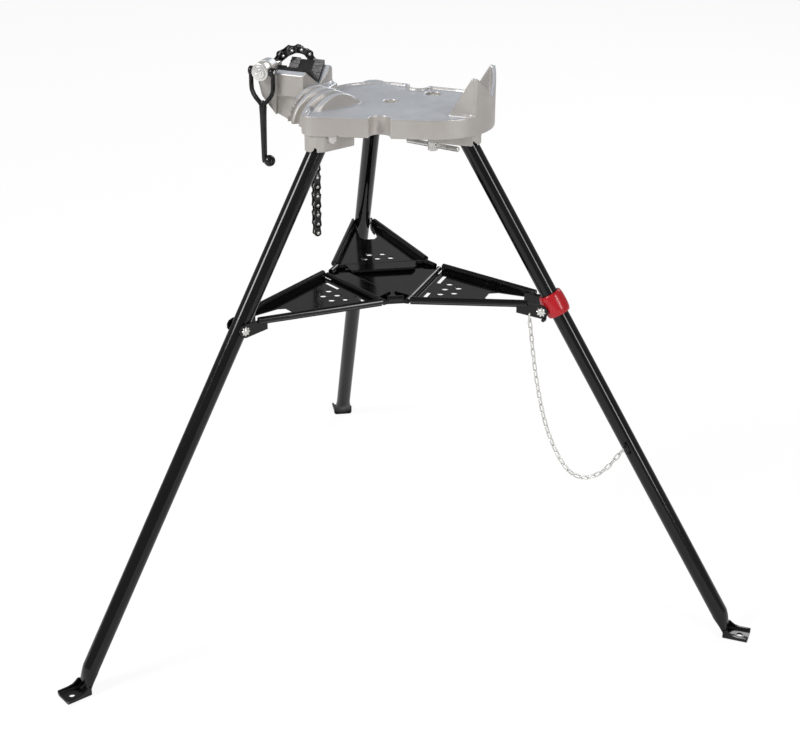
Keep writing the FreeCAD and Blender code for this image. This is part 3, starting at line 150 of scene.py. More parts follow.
def cast_aluminium():
    """Sand-cast walls, warm and a little darker than the faces that look up, which carry a painted sky
    reflection that makes them lighter and bluer.
    """
    look = Look("cast_aluminium", 0.42, 0.45)
    split = look.tree.nodes.new("ShaderNodeSeparateXYZ")
    look.link(look.coords.outputs["Normal"], split.inputs["Vector"])
    # painted sky reflection: the more a face looks up, the further it is pushed towards the lighter,
    # bluer colours
    painted_sky_reflection = look.spread(split.outputs["Z"], 0.3, 0.95, 0.0, 0.55)
    # random mottle of the metal's own tone, plus the painted sky reflection
    mottle_and_sky_reflection = look.tree.nodes.new("ShaderNodeMath")
    mottle_and_sky_reflection.operation = "MULTIPLY_ADD"
    mottle_and_sky_reflection.inputs[1].default_value = 0.6
    look.link(look.noise(14.0, 6.0), mottle_and_sky_reflection.inputs[0])
    look.link(painted_sky_reflection, mottle_and_sky_reflection.inputs[2])
    # the low, warm stops are the walls' own tone; the lighter, bluer top stops are painted sky reflection
    # on faces that look up
    stops = [
        (0.15, (0.45, 0.42, 0.39)),
        (0.42, (0.56, 0.53, 0.50)),
        (0.62, (0.54, 0.56, 0.60)),
        (1.0, (0.66, 0.69, 0.74)),
    ]
    look.colours(mottle_and_sky_reflection.outputs[0], stops)
    look.roughness(look.noise(60.0), 0.3, 0.46)
    look.bump(look.noise(1300.0, 3.0, 0.7), 0.35, 0.00012)
    look.bump(look.noise(55.0, 3.0), 0.2, 0.0006)
    return look.material


def black_paint():
    look = Look("black_paint", 0.13)
    look.colours(look.noise(18.0), [(0.35, (0.002, 0.002, 0.0025)), (0.7, (0.0045, 0.0045, 0.005))])
    look.roughness(look.noise(70.0), 0.08, 0.15)
    look.bump(look.noise(160.0, 2.0), 0.08, 0.00006)
    look.shader.inputs["Specular IOR Level"].default_value = 0.4
    return look.material


def red_paint():
    look = Look("red_paint", 0.25)
    look.colours(look.noise(12.0), [(0.3, (0.42, 0.006, 0.012)), (0.7, (0.50, 0.010, 0.017))])
    look.roughness(look.noise(60.0), 0.18, 0.26)
    look.bump(look.noise(90.0, 2.0), 0.04, 0.00005)
    return look.material


def black_steel():
    look = Look("black_steel", 0.25, 0.1)
    look.colours(look.noise(60.0), [(0.35, (0.004, 0.004, 0.0045)), (0.7, (0.011, 0.011, 0.012))])
    look.roughness(look.noise(160.0), 0.14, 0.28)
    look.bump(look.noise(600.0, 3.0), 0.2, 0.0001)
    return look.material


def jaw_steel():
    look = Look("jaw_steel", 0.4, 0.1)
    look.colours(look.noise(90.0), [(0.35, (0.005, 0.005, 0.0055)), (0.7, (0.016, 0.016, 0.016))])
    look.roughness(look.noise(200.0), 0.34, 0.5)
    look.bump(look.noise(900.0, 3.0), 0.3, 0.00015)
    return look.material


def zinc_steel():
    look = Look("zinc_steel", 0.28, 0.7)
    stops = [(0.3, (0.72, 0.71, 0.67)), (0.55, (0.80, 0.79, 0.77)), (0.75, (0.86, 0.85, 0.80))]
    look.colours(look.noise(25.0, 2.0), stops)
    look.roughness(look.noise(60.0, 2.0), 0.24, 0.32)
    look.bump(look.noise(400.0, 2.0), 0.05, 0.00004)
    return look.material


# ---------------------------------------------------------------- mesh helpers
def mesh_object(name, bm, material, smooth=40.0):
    mesh = bpy.data.meshes.new(name)
    bmesh.ops.recalc_face_normals(bm, faces=bm.faces)
    bm.to_mesh(mesh)
    bm.free()
    for polygon in mesh.polygons:
        polygon.use_smooth = True
    mesh.set_sharp_from_angle(angle=math.radians(smooth))
    mesh.materials.append(material)
    piece = bpy.data.objects.new(name, mesh)
    bpy.context.scene.collection.objects.link(piece)
    return piece


def fitted(name, bm, slot, body, stands_for=(), smooth=40.0, hole=None):
    """A finished piece with its material slot, its body and the nodes that it stands for."""
    piece = mesh_object(name, bm, LOOKS[slot], smooth)
    if hole:
        drill(piece, hole, smooth)
    if stands_for:
        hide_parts(*stands_for)
    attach(piece, body)
    return piece


def add_loft(bm, rings, closed_loop=False):
    """Skin over rings of points with the same count, capped unless the rings run round."""
    rows = [[bm.verts.new(p) for p in ring] for ring in rings]
    spans = list(zip(rows, rows[1:]))
    if closed_loop:
        spans.append((rows[-1], rows[0]))
    for a, b in spans:
        n = len(a)
        for k in range(n):
            bm.faces.new((a[k], a[(k + 1) % n], b[(k + 1) % n], b[k]))
    if not closed_loop:
        bm.faces.new(list(reversed(rows[0])))
        bm.faces.new(rows[-1])


def ring_at(centre, axis_a, axis_b, radius, count, radius_b=None):
    """A round or, with a second radius, an oval ring of points."""
    points = []
    b = radius if radius_b is None else radius_b
    for k in range(count):
        a = 2 * math.pi * k / count
        points.append(centre + axis_a * (radius * math.cos(a)) + axis_b * (b * math.sin(a)))
    return points


def add_turned(bm, base, axis, profile, count=24):
    """A turned solid: profile is [(distance along the axis, radius), ...]."""
    side = axis.orthogonal().normalized()
    other = axis.cross(side)
    add_loft(bm, [ring_at(base + axis * d, side, other, r, count) for d, r in profile])


def add_rod(bm, start, end, radius, count=20, edge=0.4 * MM):
    """A round rod with eased ends."""
    length = (end - start).length
    profile = [(0, radius - edge), (edge, radius), (length - edge, radius), (length, radius - edge)]
    add_turned(bm, start, (end - start).normalized(), profile, count)


def add_wire(bm, points, radius, count=12):
    """Round wire through a list of points; its section is carried along without twisting."""
    befores = points[:1] + points[:-1]
    afters = points[1:] + points[-1:]
    tangents = [(after - before).normalized() for before, after in zip(befores, afters)]
    side = tangents[0].orthogonal().normalized()
    rings = []
    for point, along in zip(points, tangents):
        side = (side - along * side.dot(along)).normalized()
        rings.append(ring_at(point, side, along.cross(side), radius, count))
    add_loft(bm, rings)


def add_torus(bm, centre, axis, major, minor, count=24, section=10):
    """A closed ring of round wire."""
    side = axis.orthogonal().normalized()
    other = axis.cross(side)
    rings = []
    for k in range(count):
        a = 2 * math.pi * k / count
        out = side * math.cos(a) + other * math.sin(a)
        rings.append(ring_at(centre + out * major, out, axis, minor, section))
    add_loft(bm, rings, closed_loop=True)


def smooth_route(points, steps=12):
    """Points along a smooth curve that passes through the given ones."""
    ends = [points[0] * 2 - points[1]] + points + [points[-1] * 2 - points[-2]]
    out = []
    for a, b, c, d in zip(ends, ends[1:], ends[2:], ends[3:]):
        for k in range(steps):
            t = k / steps
            bend = a * 2 - b * 5 + c * 4 - d
            twist = b * 3 - a - c * 3 + d
            out.append(0.5 * (b * 2 + (c - a) * t + bend * t * t + twist * t ** 3))
    out.append(points[-1])
    return out


# ---------------------------------------------------------------- legs
SPLAY = math.radians(31.16)
HINGE_RADIUS = 121.9
HINGE_Z = 796.0
TUBE_RADIUS = 13.35
TUBE_EDGE = 0.5
TUBE_HEAD = 13.0
TUBE_SIDES = 40
TUBE_SPANS = 8
FOOT_NECK = 46.0             # flattened stretch of the tube above the foot
FOOT_LENGTH = 40.0
FOOT_HALF = 18.0
FOOT_SHEET = 3.6
FOOT_MIDDLE_Z = 2.25
FOOT_SETBACK = 10.5          # heel behind the tube's middle line
FOOT_BEND = 5
FOOT_BEND_STEPS = 5
FOOT_LIP_TAPER = 0.86
FOOT_LIPS = [                # from the heel, height of the turned-up sides
    (0.0, 14.0), (1.0, 16.0), (5.0, 16.0), (9.0, 12.5),
    (14.0, 9.5), (22.0, 8.2), (38.6, 8.0), (FOOT_LENGTH - 0.4, 7.4),
]
HEEL_X = HINGE_RADIUS + (HINGE_Z - FOOT_MIDDLE_Z) * math.tan(SPLAY) - FOOT_SETBACK
FOOT_HOLE_X = HEEL_X + 25.0
FOOT_HOLE_RADIUS = 5
DRILL_LOW = -6
DRILL_LENGTH = 20
NECK_STEPS = 10
NECK_END = (4.6, 3.0)        # from the heel, and above the floor
NECK_HALF_DEPTH = 4.2
NECK_INSET = 1.0             # flattened tube inside the foot's sides


def channel(x, lip, azimuth):
    """Section of the pressed foot: a flat floor with both sides turned up through a round bend."""
    outer = []
    for side in (-1, 1):
        bend = []
        for k in range(FOOT_BEND_STEPS + 1):
            a = math.radians(90 * k / FOOT_BEND_STEPS)
            across = FOOT_HALF - FOOT_BEND + FOOT_BEND * math.cos(a)
            bend.append((across, FOOT_BEND - FOOT_BEND * math.sin(a)))
        arc = [(side * y, z) for y, z in bend]
        arc = [(side * FOOT_HALF, lip)] + arc
        outer += arc if side < 0 else list(reversed(arc))
    inner = []
    shrink = FOOT_SHEET / FOOT_HALF
    for y, z in reversed(outer):
        rise = z * FOOT_LIP_TAPER if z < lip else lip - FOOT_SHEET
        inner.append((y * (1 - shrink), FOOT_SHEET + rise))
    return [place(x, y, z, azimuth) for y, z in outer + inner]


def make_leg(kind):
    """Tube that is flattened towards its lower end, and the pressed foot with its hole."""
    azimuth = LEG_AZIMUTHS[kind]
    down = Vector((math.sin(SPLAY), 0.0, -math.cos(SPLAY)))
    length = HINGE_Z / math.cos(SPLAY) - FOOT_NECK
    hinge = Vector((HINGE_RADIUS, 0.0, HINGE_Z))

    def section(centre, half_out, half_side, lean):
        out = Vector((math.cos(lean), 0.0, math.sin(lean)))
        points = ring_at(centre, out, Y_AXIS, half_out, TUBE_SIDES, half_side)
        return [place(*p, azimuth) for p in points]

    bm = bmesh.new()
    top = TUBE_RADIUS - TUBE_EDGE
    rings = [section(hinge - down * TUBE_HEAD, top, top, SPLAY)]
    for k in range(TUBE_SPANS + 1):
        at = -TUBE_HEAD + TUBE_EDGE + (length + TUBE_HEAD - TUBE_EDGE) * k / TUBE_SPANS
        rings.append(section(hinge + down * at, TUBE_RADIUS, TUBE_RADIUS, SPLAY))
    start = hinge + down * length
    end = Vector((HEEL_X + NECK_END[0], 0.0, NECK_END[1]))
    for k in range(1, NECK_STEPS + 1):
        t = k / NECK_STEPS
        ease = t * t * (3 - 2 * t)
        flat = TUBE_RADIUS + (NECK_HALF_DEPTH - TUBE_RADIUS) * ease
        wide = TUBE_RADIUS + (FOOT_HALF - NECK_INSET - TUBE_RADIUS) * ease
        rings.append(section(start.lerp(end, t), flat, wide, SPLAY * (1 - ease)))
    add_loft(bm, rings)
    foot = bmesh.new()
    add_loft(foot, [channel(HEEL_X + x, lip, azimuth) for x, lip in FOOT_LIPS])
    fitted("leg_%s_tube" % kind, bm, "black_paint", "leg_" + kind, ["leg_" + kind])
    hole = bmesh.new()
    bore = FOOT_HOLE_RADIUS * MM
    low = place(FOOT_HOLE_X, 0, DRILL_LOW, azimuth)
    add_turned(hole, low, Z_AXIS, [(0, bore), (DRILL_LENGTH * MM, bore)], 32)
    fitted("leg_%s_foot" % kind, foot, "black_paint", "leg_" + kind, hole=hole)


def drill(piece, bm, smooth):
    """Cuts a closed mesh out of a piece for good."""
    cutter = mesh_object("cutter", bm, LOOKS["black_paint"])
    modifier = piece.modifiers.new("hole", "BOOLEAN")
    modifier.operation = "DIFFERENCE"
    modifier.solver = "EXACT"
    modifier.object = cutter
    bpy.context.view_layer.update()
    shape = bpy.data.meshes.new_from_object(piece.evaluated_get(bpy.context.evaluated_depsgraph_get()))
    piece.modifiers.clear()
    piece.data = shape
    shape.set_sharp_from_angle(angle=math.radians(smooth))
    bpy.data.objects.remove(cutter)


# ---------------------------------------------------------------- tray
TRAY_Z = 534.0
TRAY_HINGE = 63.4
TRAY_WIDTH = 149.0
TRAY_SHEET = 1.6
KNUCKLE_RADIUS = 4.45
KNUCKLE_COVER = 0.15         # the round knuckle goes over the faceted one
KNUCKLE_ROOT = 4.25
SHEET_START = 5.25           # floors begin this far from the hinge line
EAR_WIDTH = 16.0
EAR_PLAY = 0.1
BARREL_PLAY = 0.5
HINGE_PIN_PROUD = 1.5
HINGE_PIN_HEAD = 3.4
BEAD_RADIUS = 5.0            # rolled rims of the arms
BEAD_EDGE = 0.8
BEAD_OUT = 1.9               # bead's middle outside the wall
BEAD_PAST = 3                # bead over the fork's cheek
PAN_BEAD = 4.4
PAN_BEAD_BACK = 1.2
PAN_BEAD_SHORT = 1.0
RIM_Z = TRAY_Z + 4.2
PIVOT_Z = 526.0
FORK_LENGTH = 26.0
FORK_GAP = {"right": 19.25, "rear": 14.75, "front": 14.75}
FORK_SHEET = 3.0
COLLAR_PIVOT_INSET = 20.0    # the right arm ends at the collar's ear
HOLE_PITCH = 22.0
HOLE_ROWS = [3, 2]
HOLE_ROW_STEP = 0.87         # next row, in pitches
HOLE_RIM = (5.7, 0.75)       # ring rolled round each hole
HOLE_RIM_RISE = 1.5
FLOOR_MARGIN = 9.0
TONGUE_LENGTH = 27.0
TONGUE_INSET = 16.0
TONGUE_CURL = 6.0
CURL_DROP = 3.0
CURL_RADIUS = 3.1


def fork_pivot(kind):
    """Rivet of an arm's fork, out from the stand's axis."""
    radius = HINGE_RADIUS + (HINGE_Z - PIVOT_Z) * math.tan(SPLAY)
    return radius - (COLLAR_PIVOT_INSET if kind == "right" else 0.0)


def dress_arm(kind):
    """Round beads, barrel and curl over the arm's faceted ones, and a rolled rim round each hole."""
    azimuth = LEG_AZIMUTHS[kind]
    half = TRAY_WIDTH / 2
    start_x = TRAY_HINGE + SHEET_START
    end_x = fork_pivot(kind) - FORK_LENGTH
    bm = bmesh.new()
    for side in (-1, 1):
        root = Vector((start_x, side * half, RIM_Z))
        tip = Vector((end_x + BEAD_PAST, side * (FORK_GAP[kind] + TRAY_SHEET), RIM_Z))
        along = (tip - root).normalized()
        out = Vector((-along.y, along.x, 0)) * side * BEAD_OUT
        a, b = place(*(root + out), azimuth), place(*(tip + out), azimuth)
        add_rod(bm, a, b, BEAD_RADIUS * MM, 24, BEAD_EDGE * MM)
    barrel = half - EAR_WIDTH - BARREL_PLAY
    a, b = place(TRAY_HINGE, -barrel, TRAY_Z, azimuth), place(TRAY_HINGE, barrel, TRAY_Z, azimuth)
    add_rod(bm, a, b, (KNUCKLE_RADIUS + KNUCKLE_COVER) * MM, 24)
    curl_x = TRAY_HINGE - TONGUE_LENGTH
    curl_z = TRAY_Z + KNUCKLE_ROOT - CURL_DROP
    reach = half - TONGUE_INSET - TONGUE_CURL
    a, b = place(curl_x, -reach, curl_z, azimuth), place(curl_x, reach, curl_z, azimuth)
    add_rod(bm, a, b, CURL_RADIUS * MM, 18)
    floor_z = TRAY_Z - KNUCKLE_ROOT + HOLE_RIM_RISE
    ring, wire = HOLE_RIM
    x = start_x + FLOOR_MARGIN + HOLE_PITCH
    for count in HOLE_ROWS:
        for k in range(count):
            y = (k - (count - 1) / 2) * HOLE_PITCH
            add_torus(bm, place(x, y, floor_z, azimuth), Z_AXIS, ring * MM, wire * MM)
        x += HOLE_PITCH * HOLE_ROW_STEP
    fitted("arm_%s_rolls" % kind, bm, "black_paint", "arm_" + kind)


def dress_pan():
    """Round beads on the pan's three short rims and barrels on its ears."""
    half = TRAY_WIDTH / 2
    edge = TRAY_HINGE - SHEET_START
    bm = bmesh.new()
    for azimuth in LEG_AZIMUTHS.values():
        for side in (-1, 1):
            inner, outer = side * (half - EAR_WIDTH + EAR_PLAY), side * (half - EAR_PLAY)
            a, b = place(TRAY_HINGE, inner, TRAY_Z, azimuth), place(TRAY_HINGE, outer, TRAY_Z, azimuth)
            add_rod(bm, a, b, (KNUCKLE_RADIUS + KNUCKLE_COVER) * MM, 24)
            tip = place(TRAY_HINGE, side * (half + HINGE_PIN_PROUD), TRAY_Z, azimuth)
            add_rod(bm, b, tip, HINGE_PIN_HEAD * MM, 20, BEAD_EDGE * MM)
        root = place(edge - PAN_BEAD_BACK, half - PAN_BEAD_SHORT, RIM_Z, azimuth)
        tip = place(edge - PAN_BEAD_BACK, -half + PAN_BEAD_SHORT, RIM_Z, azimuth + 120)
        add_rod(bm, root, tip, PAN_BEAD * MM, 20, BEAD_EDGE * MM)
    fitted("pan_rolls", bm, "black_paint", "tray")


# ---------------------------------------------------------------- collar
COLLAR_HALF = 18.0
COLLAR_PROFILE = [(-COLLAR_HALF, 16.0), (-17.2, 17.6), (-15.0, 18.7), (-9.0, 19.6), (0.0, 19.9)]
COLLAR_BORE = 13.8
COLLAR_SIDES = 48
COLLAR_SKIN = (0.7 * MM, 10)         # voxel, rounds of smoothing


def make_collar():
    """Bulging painted sleeve, skinned together with its ear."""
    node = frame["nodes"]["leg_collar"]
    bm = bmesh.new()
    bm.from_mesh(node.data)
    bm.transform(node.matrix_world)
    down = Vector((math.sin(SPLAY), 0.0, -math.cos(SPLAY)))
    hinge = Vector((HINGE_RADIUS, 0.0, HINGE_Z))
    pivot = Vector((fork_pivot("right"), 0.0, PIVOT_Z))
    centre = hinge + down * (pivot - hinge).dot(down)
    out = Vector((math.cos(SPLAY), 0.0, math.sin(SPLAY)))
    profile = COLLAR_PROFILE + [(-d, r) for d, r in reversed(COLLAR_PROFILE[:-1])]
    profile += [(COLLAR_HALF, COLLAR_BORE), (-COLLAR_HALF, COLLAR_BORE)]
    rings = []
    for d, r in profile:
        ring = ring_at(centre + down * d, out, Y_AXIS, r, COLLAR_SIDES)
        rings.append([place(*p) for p in ring])
    add_loft(bm, rings, closed_loop=True)
    piece = fitted("collar_skin", bm, "red_paint", "leg_right", ["leg_collar"])
    soften(piece, *COLLAR_SKIN)


# ---------------------------------------------------------------- rivets, hook and staple
CAP_POINTS = 8
CAP_TIP = 7.4
CAP_ROOT = 5.7
CAP_STEPS = [(0.0, 1.0), (0.7, 1.0), (1.2, 0.82)]            # height, share of the radius
CAP_DOME = [(0.8, 4.6), (1.6, 4.5), (2.3, 3.6), (2.6, 1.5)]
RIVET_RADIUS = 3.8
RIVET_IN = 1.1               # inside the fork's cheek
RIVET_OUT = 0.5              # into the cap
HOOK_WIRE = 1.5
HOOK_INSET = 18.0            # from the fork's rivet, towards the pan
HOOK_HOLE_Z = PIVOT_Z - 11.0 + 4.5
HOOK_LOW = 507.2
HOOK_SAG = 1.2
HOOK_TOP = [(3.8, -5.0), (3.9, -1.8), (2.2, 1.0), (-0.5, 1.6), (-3.2, 1.0), (-4.2, -2.0)]
HOOK_BOTTOM = [(-4.0, 5.5), (-3.0, 1.6), (0.0, 0.2), (3.0, 1.6), (3.9, 5.0)]
TIE_Y = -20.75
STAPLE_Z = 313.0
STAPLE_WIRE = 2.0
STAPLE_BOW = [               # along the leg, out from its middle line
    (-8, 12.5), (-8, 20.0), (-6.4, 24.0), (-3, 25.2),
    (3, 25.2), (6.4, 24.0), (8, 20.0), (8, 12.5),
]


def add_star_cap(bm, face, out, up):
    """Push-on cap with a toothed edge round a domed middle."""
    side = out.cross(up)
    count = 4 * CAP_POINTS
    rings = []
    for depth, scale in CAP_STEPS:
        ring = []
        for k in range(count):
            a = 2 * math.pi * k / count
            r = (CAP_TIP if k % 4 < 2 else CAP_ROOT) * scale
            ring.append(face + (out * depth + side * (r * math.cos(a)) + up * (r * math.sin(a))) * MM)
        rings.append(ring)
    add_loft(bm, rings)
    add_turned(bm, face, out, [(d * MM, r * MM) for d, r in CAP_DOME], 24)


def make_rivets(kind):
    """A capped rivet in each cheek of an arm's fork."""
    azimuth = LEG_AZIMUTHS[kind]
    gap = FORK_GAP[kind]
    bm = bmesh.new()
    for side in (-1, 1):
        out = heading(0, side, 0, azimuth)
        face = place(fork_pivot(kind), side * (gap + FORK_SHEET), PIVOT_Z, azimuth)
        add_star_cap(bm, face, out, Z_AXIS)
        inner = place(fork_pivot(kind), side * (gap - RIVET_IN), PIVOT_Z, azimuth)
        add_rod(bm, inner, face + out * RIVET_OUT * MM, RIVET_RADIUS * MM, 20)
    fitted("arm_rivets_%s_caps" % kind, bm, "zinc_steel", "arm_" + kind, ["arm_rivets_" + kind], 30.0)


def make_hook():
    """S-hook: one bow through the cheek and one that carries the chain."""
    x = fork_pivot("right") - HOOK_INSET
    points = [place(x, TIE_Y + dy, HOOK_HOLE_Z + dz) for dy, dz in HOOK_TOP]
    points += [place(x, TIE_Y + dy, HOOK_LOW + dz - HOOK_SAG) for dy, dz in HOOK_BOTTOM]
    bm = bmesh.new()
    add_wire(bm, smooth_route(points, 6), HOOK_WIRE * MM)
    fitted("s_hook", bm, "zinc_steel", "arm_right", ["tie_hook"])


def make_staple():
    """Welded wire loop on the front of the right leg."""
    radius = HINGE_RADIUS + (HINGE_Z - STAPLE_Z) * math.tan(SPLAY)
    along = Vector((math.sin(SPLAY), 0.0, -math.cos(SPLAY)))
    middle = Vector((radius, 0.0, STAPLE_Z))
    points = [place(*(middle + along * t - Y_AXIS * depth)) for t, depth in STAPLE_BOW]
    bm = bmesh.new()
    add_wire(bm, smooth_route(points, 5), STAPLE_WIRE * MM)
    fitted("chain_staple", bm, "black_paint", "leg_right", ["tie_staple"])


# ---------------------------------------------------------------- storage chain
TIE_WIRE = 2.2 * MM
TIE_LINK = 16.0 * MM
TIE_WIDTH = 8.0 * MM
TIE_TWIST = 18               # links stand this far off the level and the upright, degrees
LINK_STEPS = 8               # spans of each half-round end
TIE_ROUTE = [(125.3, 508.0), (140, 411), (161, 327), (191, 268), (221, 250), (255, 267), (287, 313)]


def evenly(points, count):
    """count + 1 points at equal distances along a polyline."""
    lengths = [0.0]
    for a, b in zip(points, points[1:]):
        lengths.append(lengths[-1] + (b - a).length)
    out = []
    k = 0
    for i in range(count + 1):
        at = lengths[-1] * i / count
        while k < len(lengths) - 2 and lengths[k + 1] < at:
            k += 1
        t = (at - lengths[k]) / (lengths[k + 1] - lengths[k])
        out.append(points[k].lerp(points[k + 1], t))
    return out


def add_ring_link(bm, centre, along, wide):
    """A welded link of round wire."""
    normal = along.cross(wide)
    r = (TIE_WIDTH - TIE_WIRE) / 2
    half = (TIE_LINK - TIE_WIDTH) / 2
    rings = []
    for end in (1, -1):
        for k in range(LINK_STEPS + 1):
            a = math.radians(-90 + 180 / LINK_STEPS * k)
            out = (along * math.cos(a) + wide * math.sin(a)) * end
            middle = centre + along * (half * end) + out * r
            rings.append(ring_at(middle, out, normal, TIE_WIRE / 2, 10))
    add_loft(bm, rings, closed_loop=True)


def make_storage_chain():
    """Links along the hanging route, every second one turned a quarter."""
    route = smooth_route([place(HINGE_RADIUS + x, TIE_Y, z) for x, z in TIE_ROUTE], 24)
    length = sum((b - a).length for a, b in zip(route, route[1:]))
    count = int(length // (TIE_LINK - 2 * TIE_WIRE))
    points = evenly(route, count)
    bm = bmesh.new()
    for k in range(count):
        along = (points[k + 1] - points[k]).normalized()
        wide = along.cross(Y_AXIS)
        twist = Matrix.Rotation(math.radians(90 * (k % 2) + TIE_TWIST), 3, along)
        add_ring_link(bm, (points[k] + points[k + 1]) / 2, along, twist @ wide)
    fitted("storage_chain_links", bm, "zinc_steel", "leg_right", ["tie_chain"])


# ---------------------------------------------------------------- vise chain
CHAIN_PITCH = 15.875 * MM
CHAIN_TURN = 45.0
PLATE = 2.0 * MM
PLATE_HEIGHT = 13.0 * MM
PLATE_WAIST = 9.6 * MM
PLATE_EDGE = 0.35 * MM
PLATE_ARC = 70               # each end is round as far as this, degrees
PLATE_STEP = 10
ROLLER_RADIUS = 4.5 * MM
INNER_WIDTH = 7.0 * MM
SIDE_PLAY = 0.1 * MM
PIN_RADIUS = 2.5 * MM
PIN_NECK = 0.7               # riveted end, share of the pin's radius
PIN_PROUD = 0.8 * MM
PIN_SINK = 0.2 * MM
CHAIN_START = place(-189.0, 7.5, 866.0)
DRAPE_HEADINGS = [50, 25, 0, -30, -60, -84, -90, -90, -90, -90]
RUNS = {"drape": DRAPE_HEADINGS, "tail": [-90] * 6, "tail_end": [-90] * 7}


def chain_axes():
    """Level direction that the chain runs in, the vertical, and the direction of its pins."""
    a = math.radians(90 - CHAIN_TURN)
    along = Vector((math.cos(a), math.sin(a), 0.0))
    return along, Z_AXIS, along.cross(Z_AXIS) * -1.0


def plate_outline(length):
    """Half-way between a stadium and a figure of eight, round its two pins."""
    r = PLATE_HEIGHT / 2
    points = []
    for centre, first in ((length, -PLATE_ARC), (0.0, 180 - PLATE_ARC)):
        for k in range(2 * PLATE_ARC // PLATE_STEP + 1):
            a = math.radians(first + PLATE_STEP * k)
            points.append((centre + r * math.cos(a), r * math.sin(a)))
        waist = PLATE_WAIST / 2 if first < 0 else -PLATE_WAIST / 2
        points.append((length / 2, waist))
    return points


def add_plate(bm, start, along, across, pin, offset):
    """A link plate with eased edges."""
    outline = plate_outline(CHAIN_PITCH)
    centre = CHAIN_PITCH / 2

    def ring(depth, shrink):
        points = []
        k = 1.0 - shrink / (PLATE_HEIGHT / 2)
        for x, y in outline:
            spot = start + along * (centre + (x - centre) * k) + across * (y * k)
            points.append(spot + pin * (offset + depth))
        return points

    depths = ((0, PLATE_EDGE), (PLATE_EDGE, 0), (PLATE - PLATE_EDGE, 0), (PLATE, PLATE_EDGE))
    add_loft(bm, [ring(depth, shrink) for depth, shrink in depths])


def add_pin(bm, centre, pin):
    """Roller between the plates and the riveted ends of its pin outside them."""
    half = INNER_WIDTH / 2 - SIDE_PLAY
    add_rod(bm, centre - pin * half, centre + pin * half, ROLLER_RADIUS)
    face = INNER_WIDTH / 2 + 2 * PLATE + SIDE_PLAY
    head = face + PIN_PROUD
    ends = [(-head, PIN_RADIUS * PIN_NECK), (-face - PIN_SINK, PIN_RADIUS)]
    ends += [(face + PIN_SINK, PIN_RADIUS), (head, PIN_RADIUS * PIN_NECK)]
    add_turned(bm, centre, pin, ends, 18)


def make_chain():
    """Three runs of links that hinge on one another, inner and outer plates by turns."""
    along, up, pin = chain_axes()
    point = CHAIN_START
    for name, headings in RUNS.items():
        plates = bmesh.new()
        rollers = bmesh.new()
        for k, degrees in enumerate(headings):
            a = math.radians(degrees)
            forward = along * math.cos(a) + up * math.sin(a)
            across = pin.cross(forward)
            inner = k % 2 == 0
            inside = INNER_WIDTH / 2 + (0.0 if inner else PLATE + SIDE_PLAY)
            for side in (-1, 1):
                add_plate(plates, point, forward, across, pin, inside if side > 0 else -inside - PLATE)
            following = point + forward * CHAIN_PITCH
            if inner:
                add_pin(rollers, point, pin)
                add_pin(rollers, following, pin)
            point = following
        fitted(name + "_link_plates", plates, "black_steel", name, [name + "_plates"])
        fitted(name + "_link_rollers", rollers, "zinc_steel", name, [name + "_rollers"])


# ---------------------------------------------------------------- vise nut and handle
NUT_CENTRE = place(-189.0, -43.5, 866.0)
NUT_PROFILE = [
    (-8.5, 12.8), (-7.9, 13.7), (-7.0, 14.0), (7.2, 14.0), (8.1, 13.6), (8.5, 12.7), (8.5, 9.9),
    (9.0, 9.6), (10.3, 9.2), (10.5, 8.6), (10.5, 5.4), (10.1, 5.0), (9.4, 4.6), (9.2, 3.9),
    (9.9, 3.3), (10.2, 2.0),
]
TRUNNION_RADIUS = 3.0
TRUNNION_PROUD = 1.0
HANDLE_EYE_IN = 14.4
HANDLE_EYE = 6.5
HANDLE_EYE_PROFILE = [(0.0, 6.4), (0.7, 7.1), (HANDLE_EYE - 0.8, 7.1), (HANDLE_EYE, 6.2)]
SHAFT_END = 146.0            # below the pivot
BALL_NECK = 4.0
BALL_RADIUS = 9.2
BALL_SIDE = 8.6              # ball's middle beside the shaft
BALL_STEPS = 16
# side, height, half width and half depth of a prong, from the eye to the shaft
PRONG = [
    (0.8, 3.0, 2.9, 5.2), (0.8, -10.0, 3.1, 5.0), (0.8, -22.0, 3.2, 4.9), (0.2, -30.0, 3.3, 4.8),
    (-2.6, -37.0, 3.7, 4.8), (-7.2, -43.5, 4.3, 4.8), (-12.0, -48.5, 4.6, 4.8), (-16.2, -54.0, 4.0, 4.6),
]
# height, half width and half depth of the shaft
SHAFT = [
    (-46.5, 2.6, 3.0), (-49.5, 5.4, 4.6), (-56, 6.3, 4.9), (-68, 5.6, 4.9), (-95, 5.0, 4.8),
    (-SHAFT_END + 8, 4.4, 4.4), (-SHAFT_END + 2, 4.0, 4.0), (-SHAFT_END, 2.6, 2.6),
]


def make_nut():
    """Round nut with eased edges, a raised ring, a dimple in the middle and its two trunnions."""
    bm = bmesh.new()
    add_turned(bm, NUT_CENTRE, -Y_AXIS, [(d * MM, r * MM) for d, r in NUT_PROFILE], 48)
    reach = (HANDLE_EYE_IN + HANDLE_EYE + TRUNNION_PROUD) * MM
    add_rod(bm, NUT_CENTRE - X_AXIS * reach, NUT_CENTRE + X_AXIS * reach, TRUNNION_RADIUS * MM, 24)
    fitted("vise_nut_turned", bm, "zinc_steel", "nut", ["vise_nut"], 32.0)


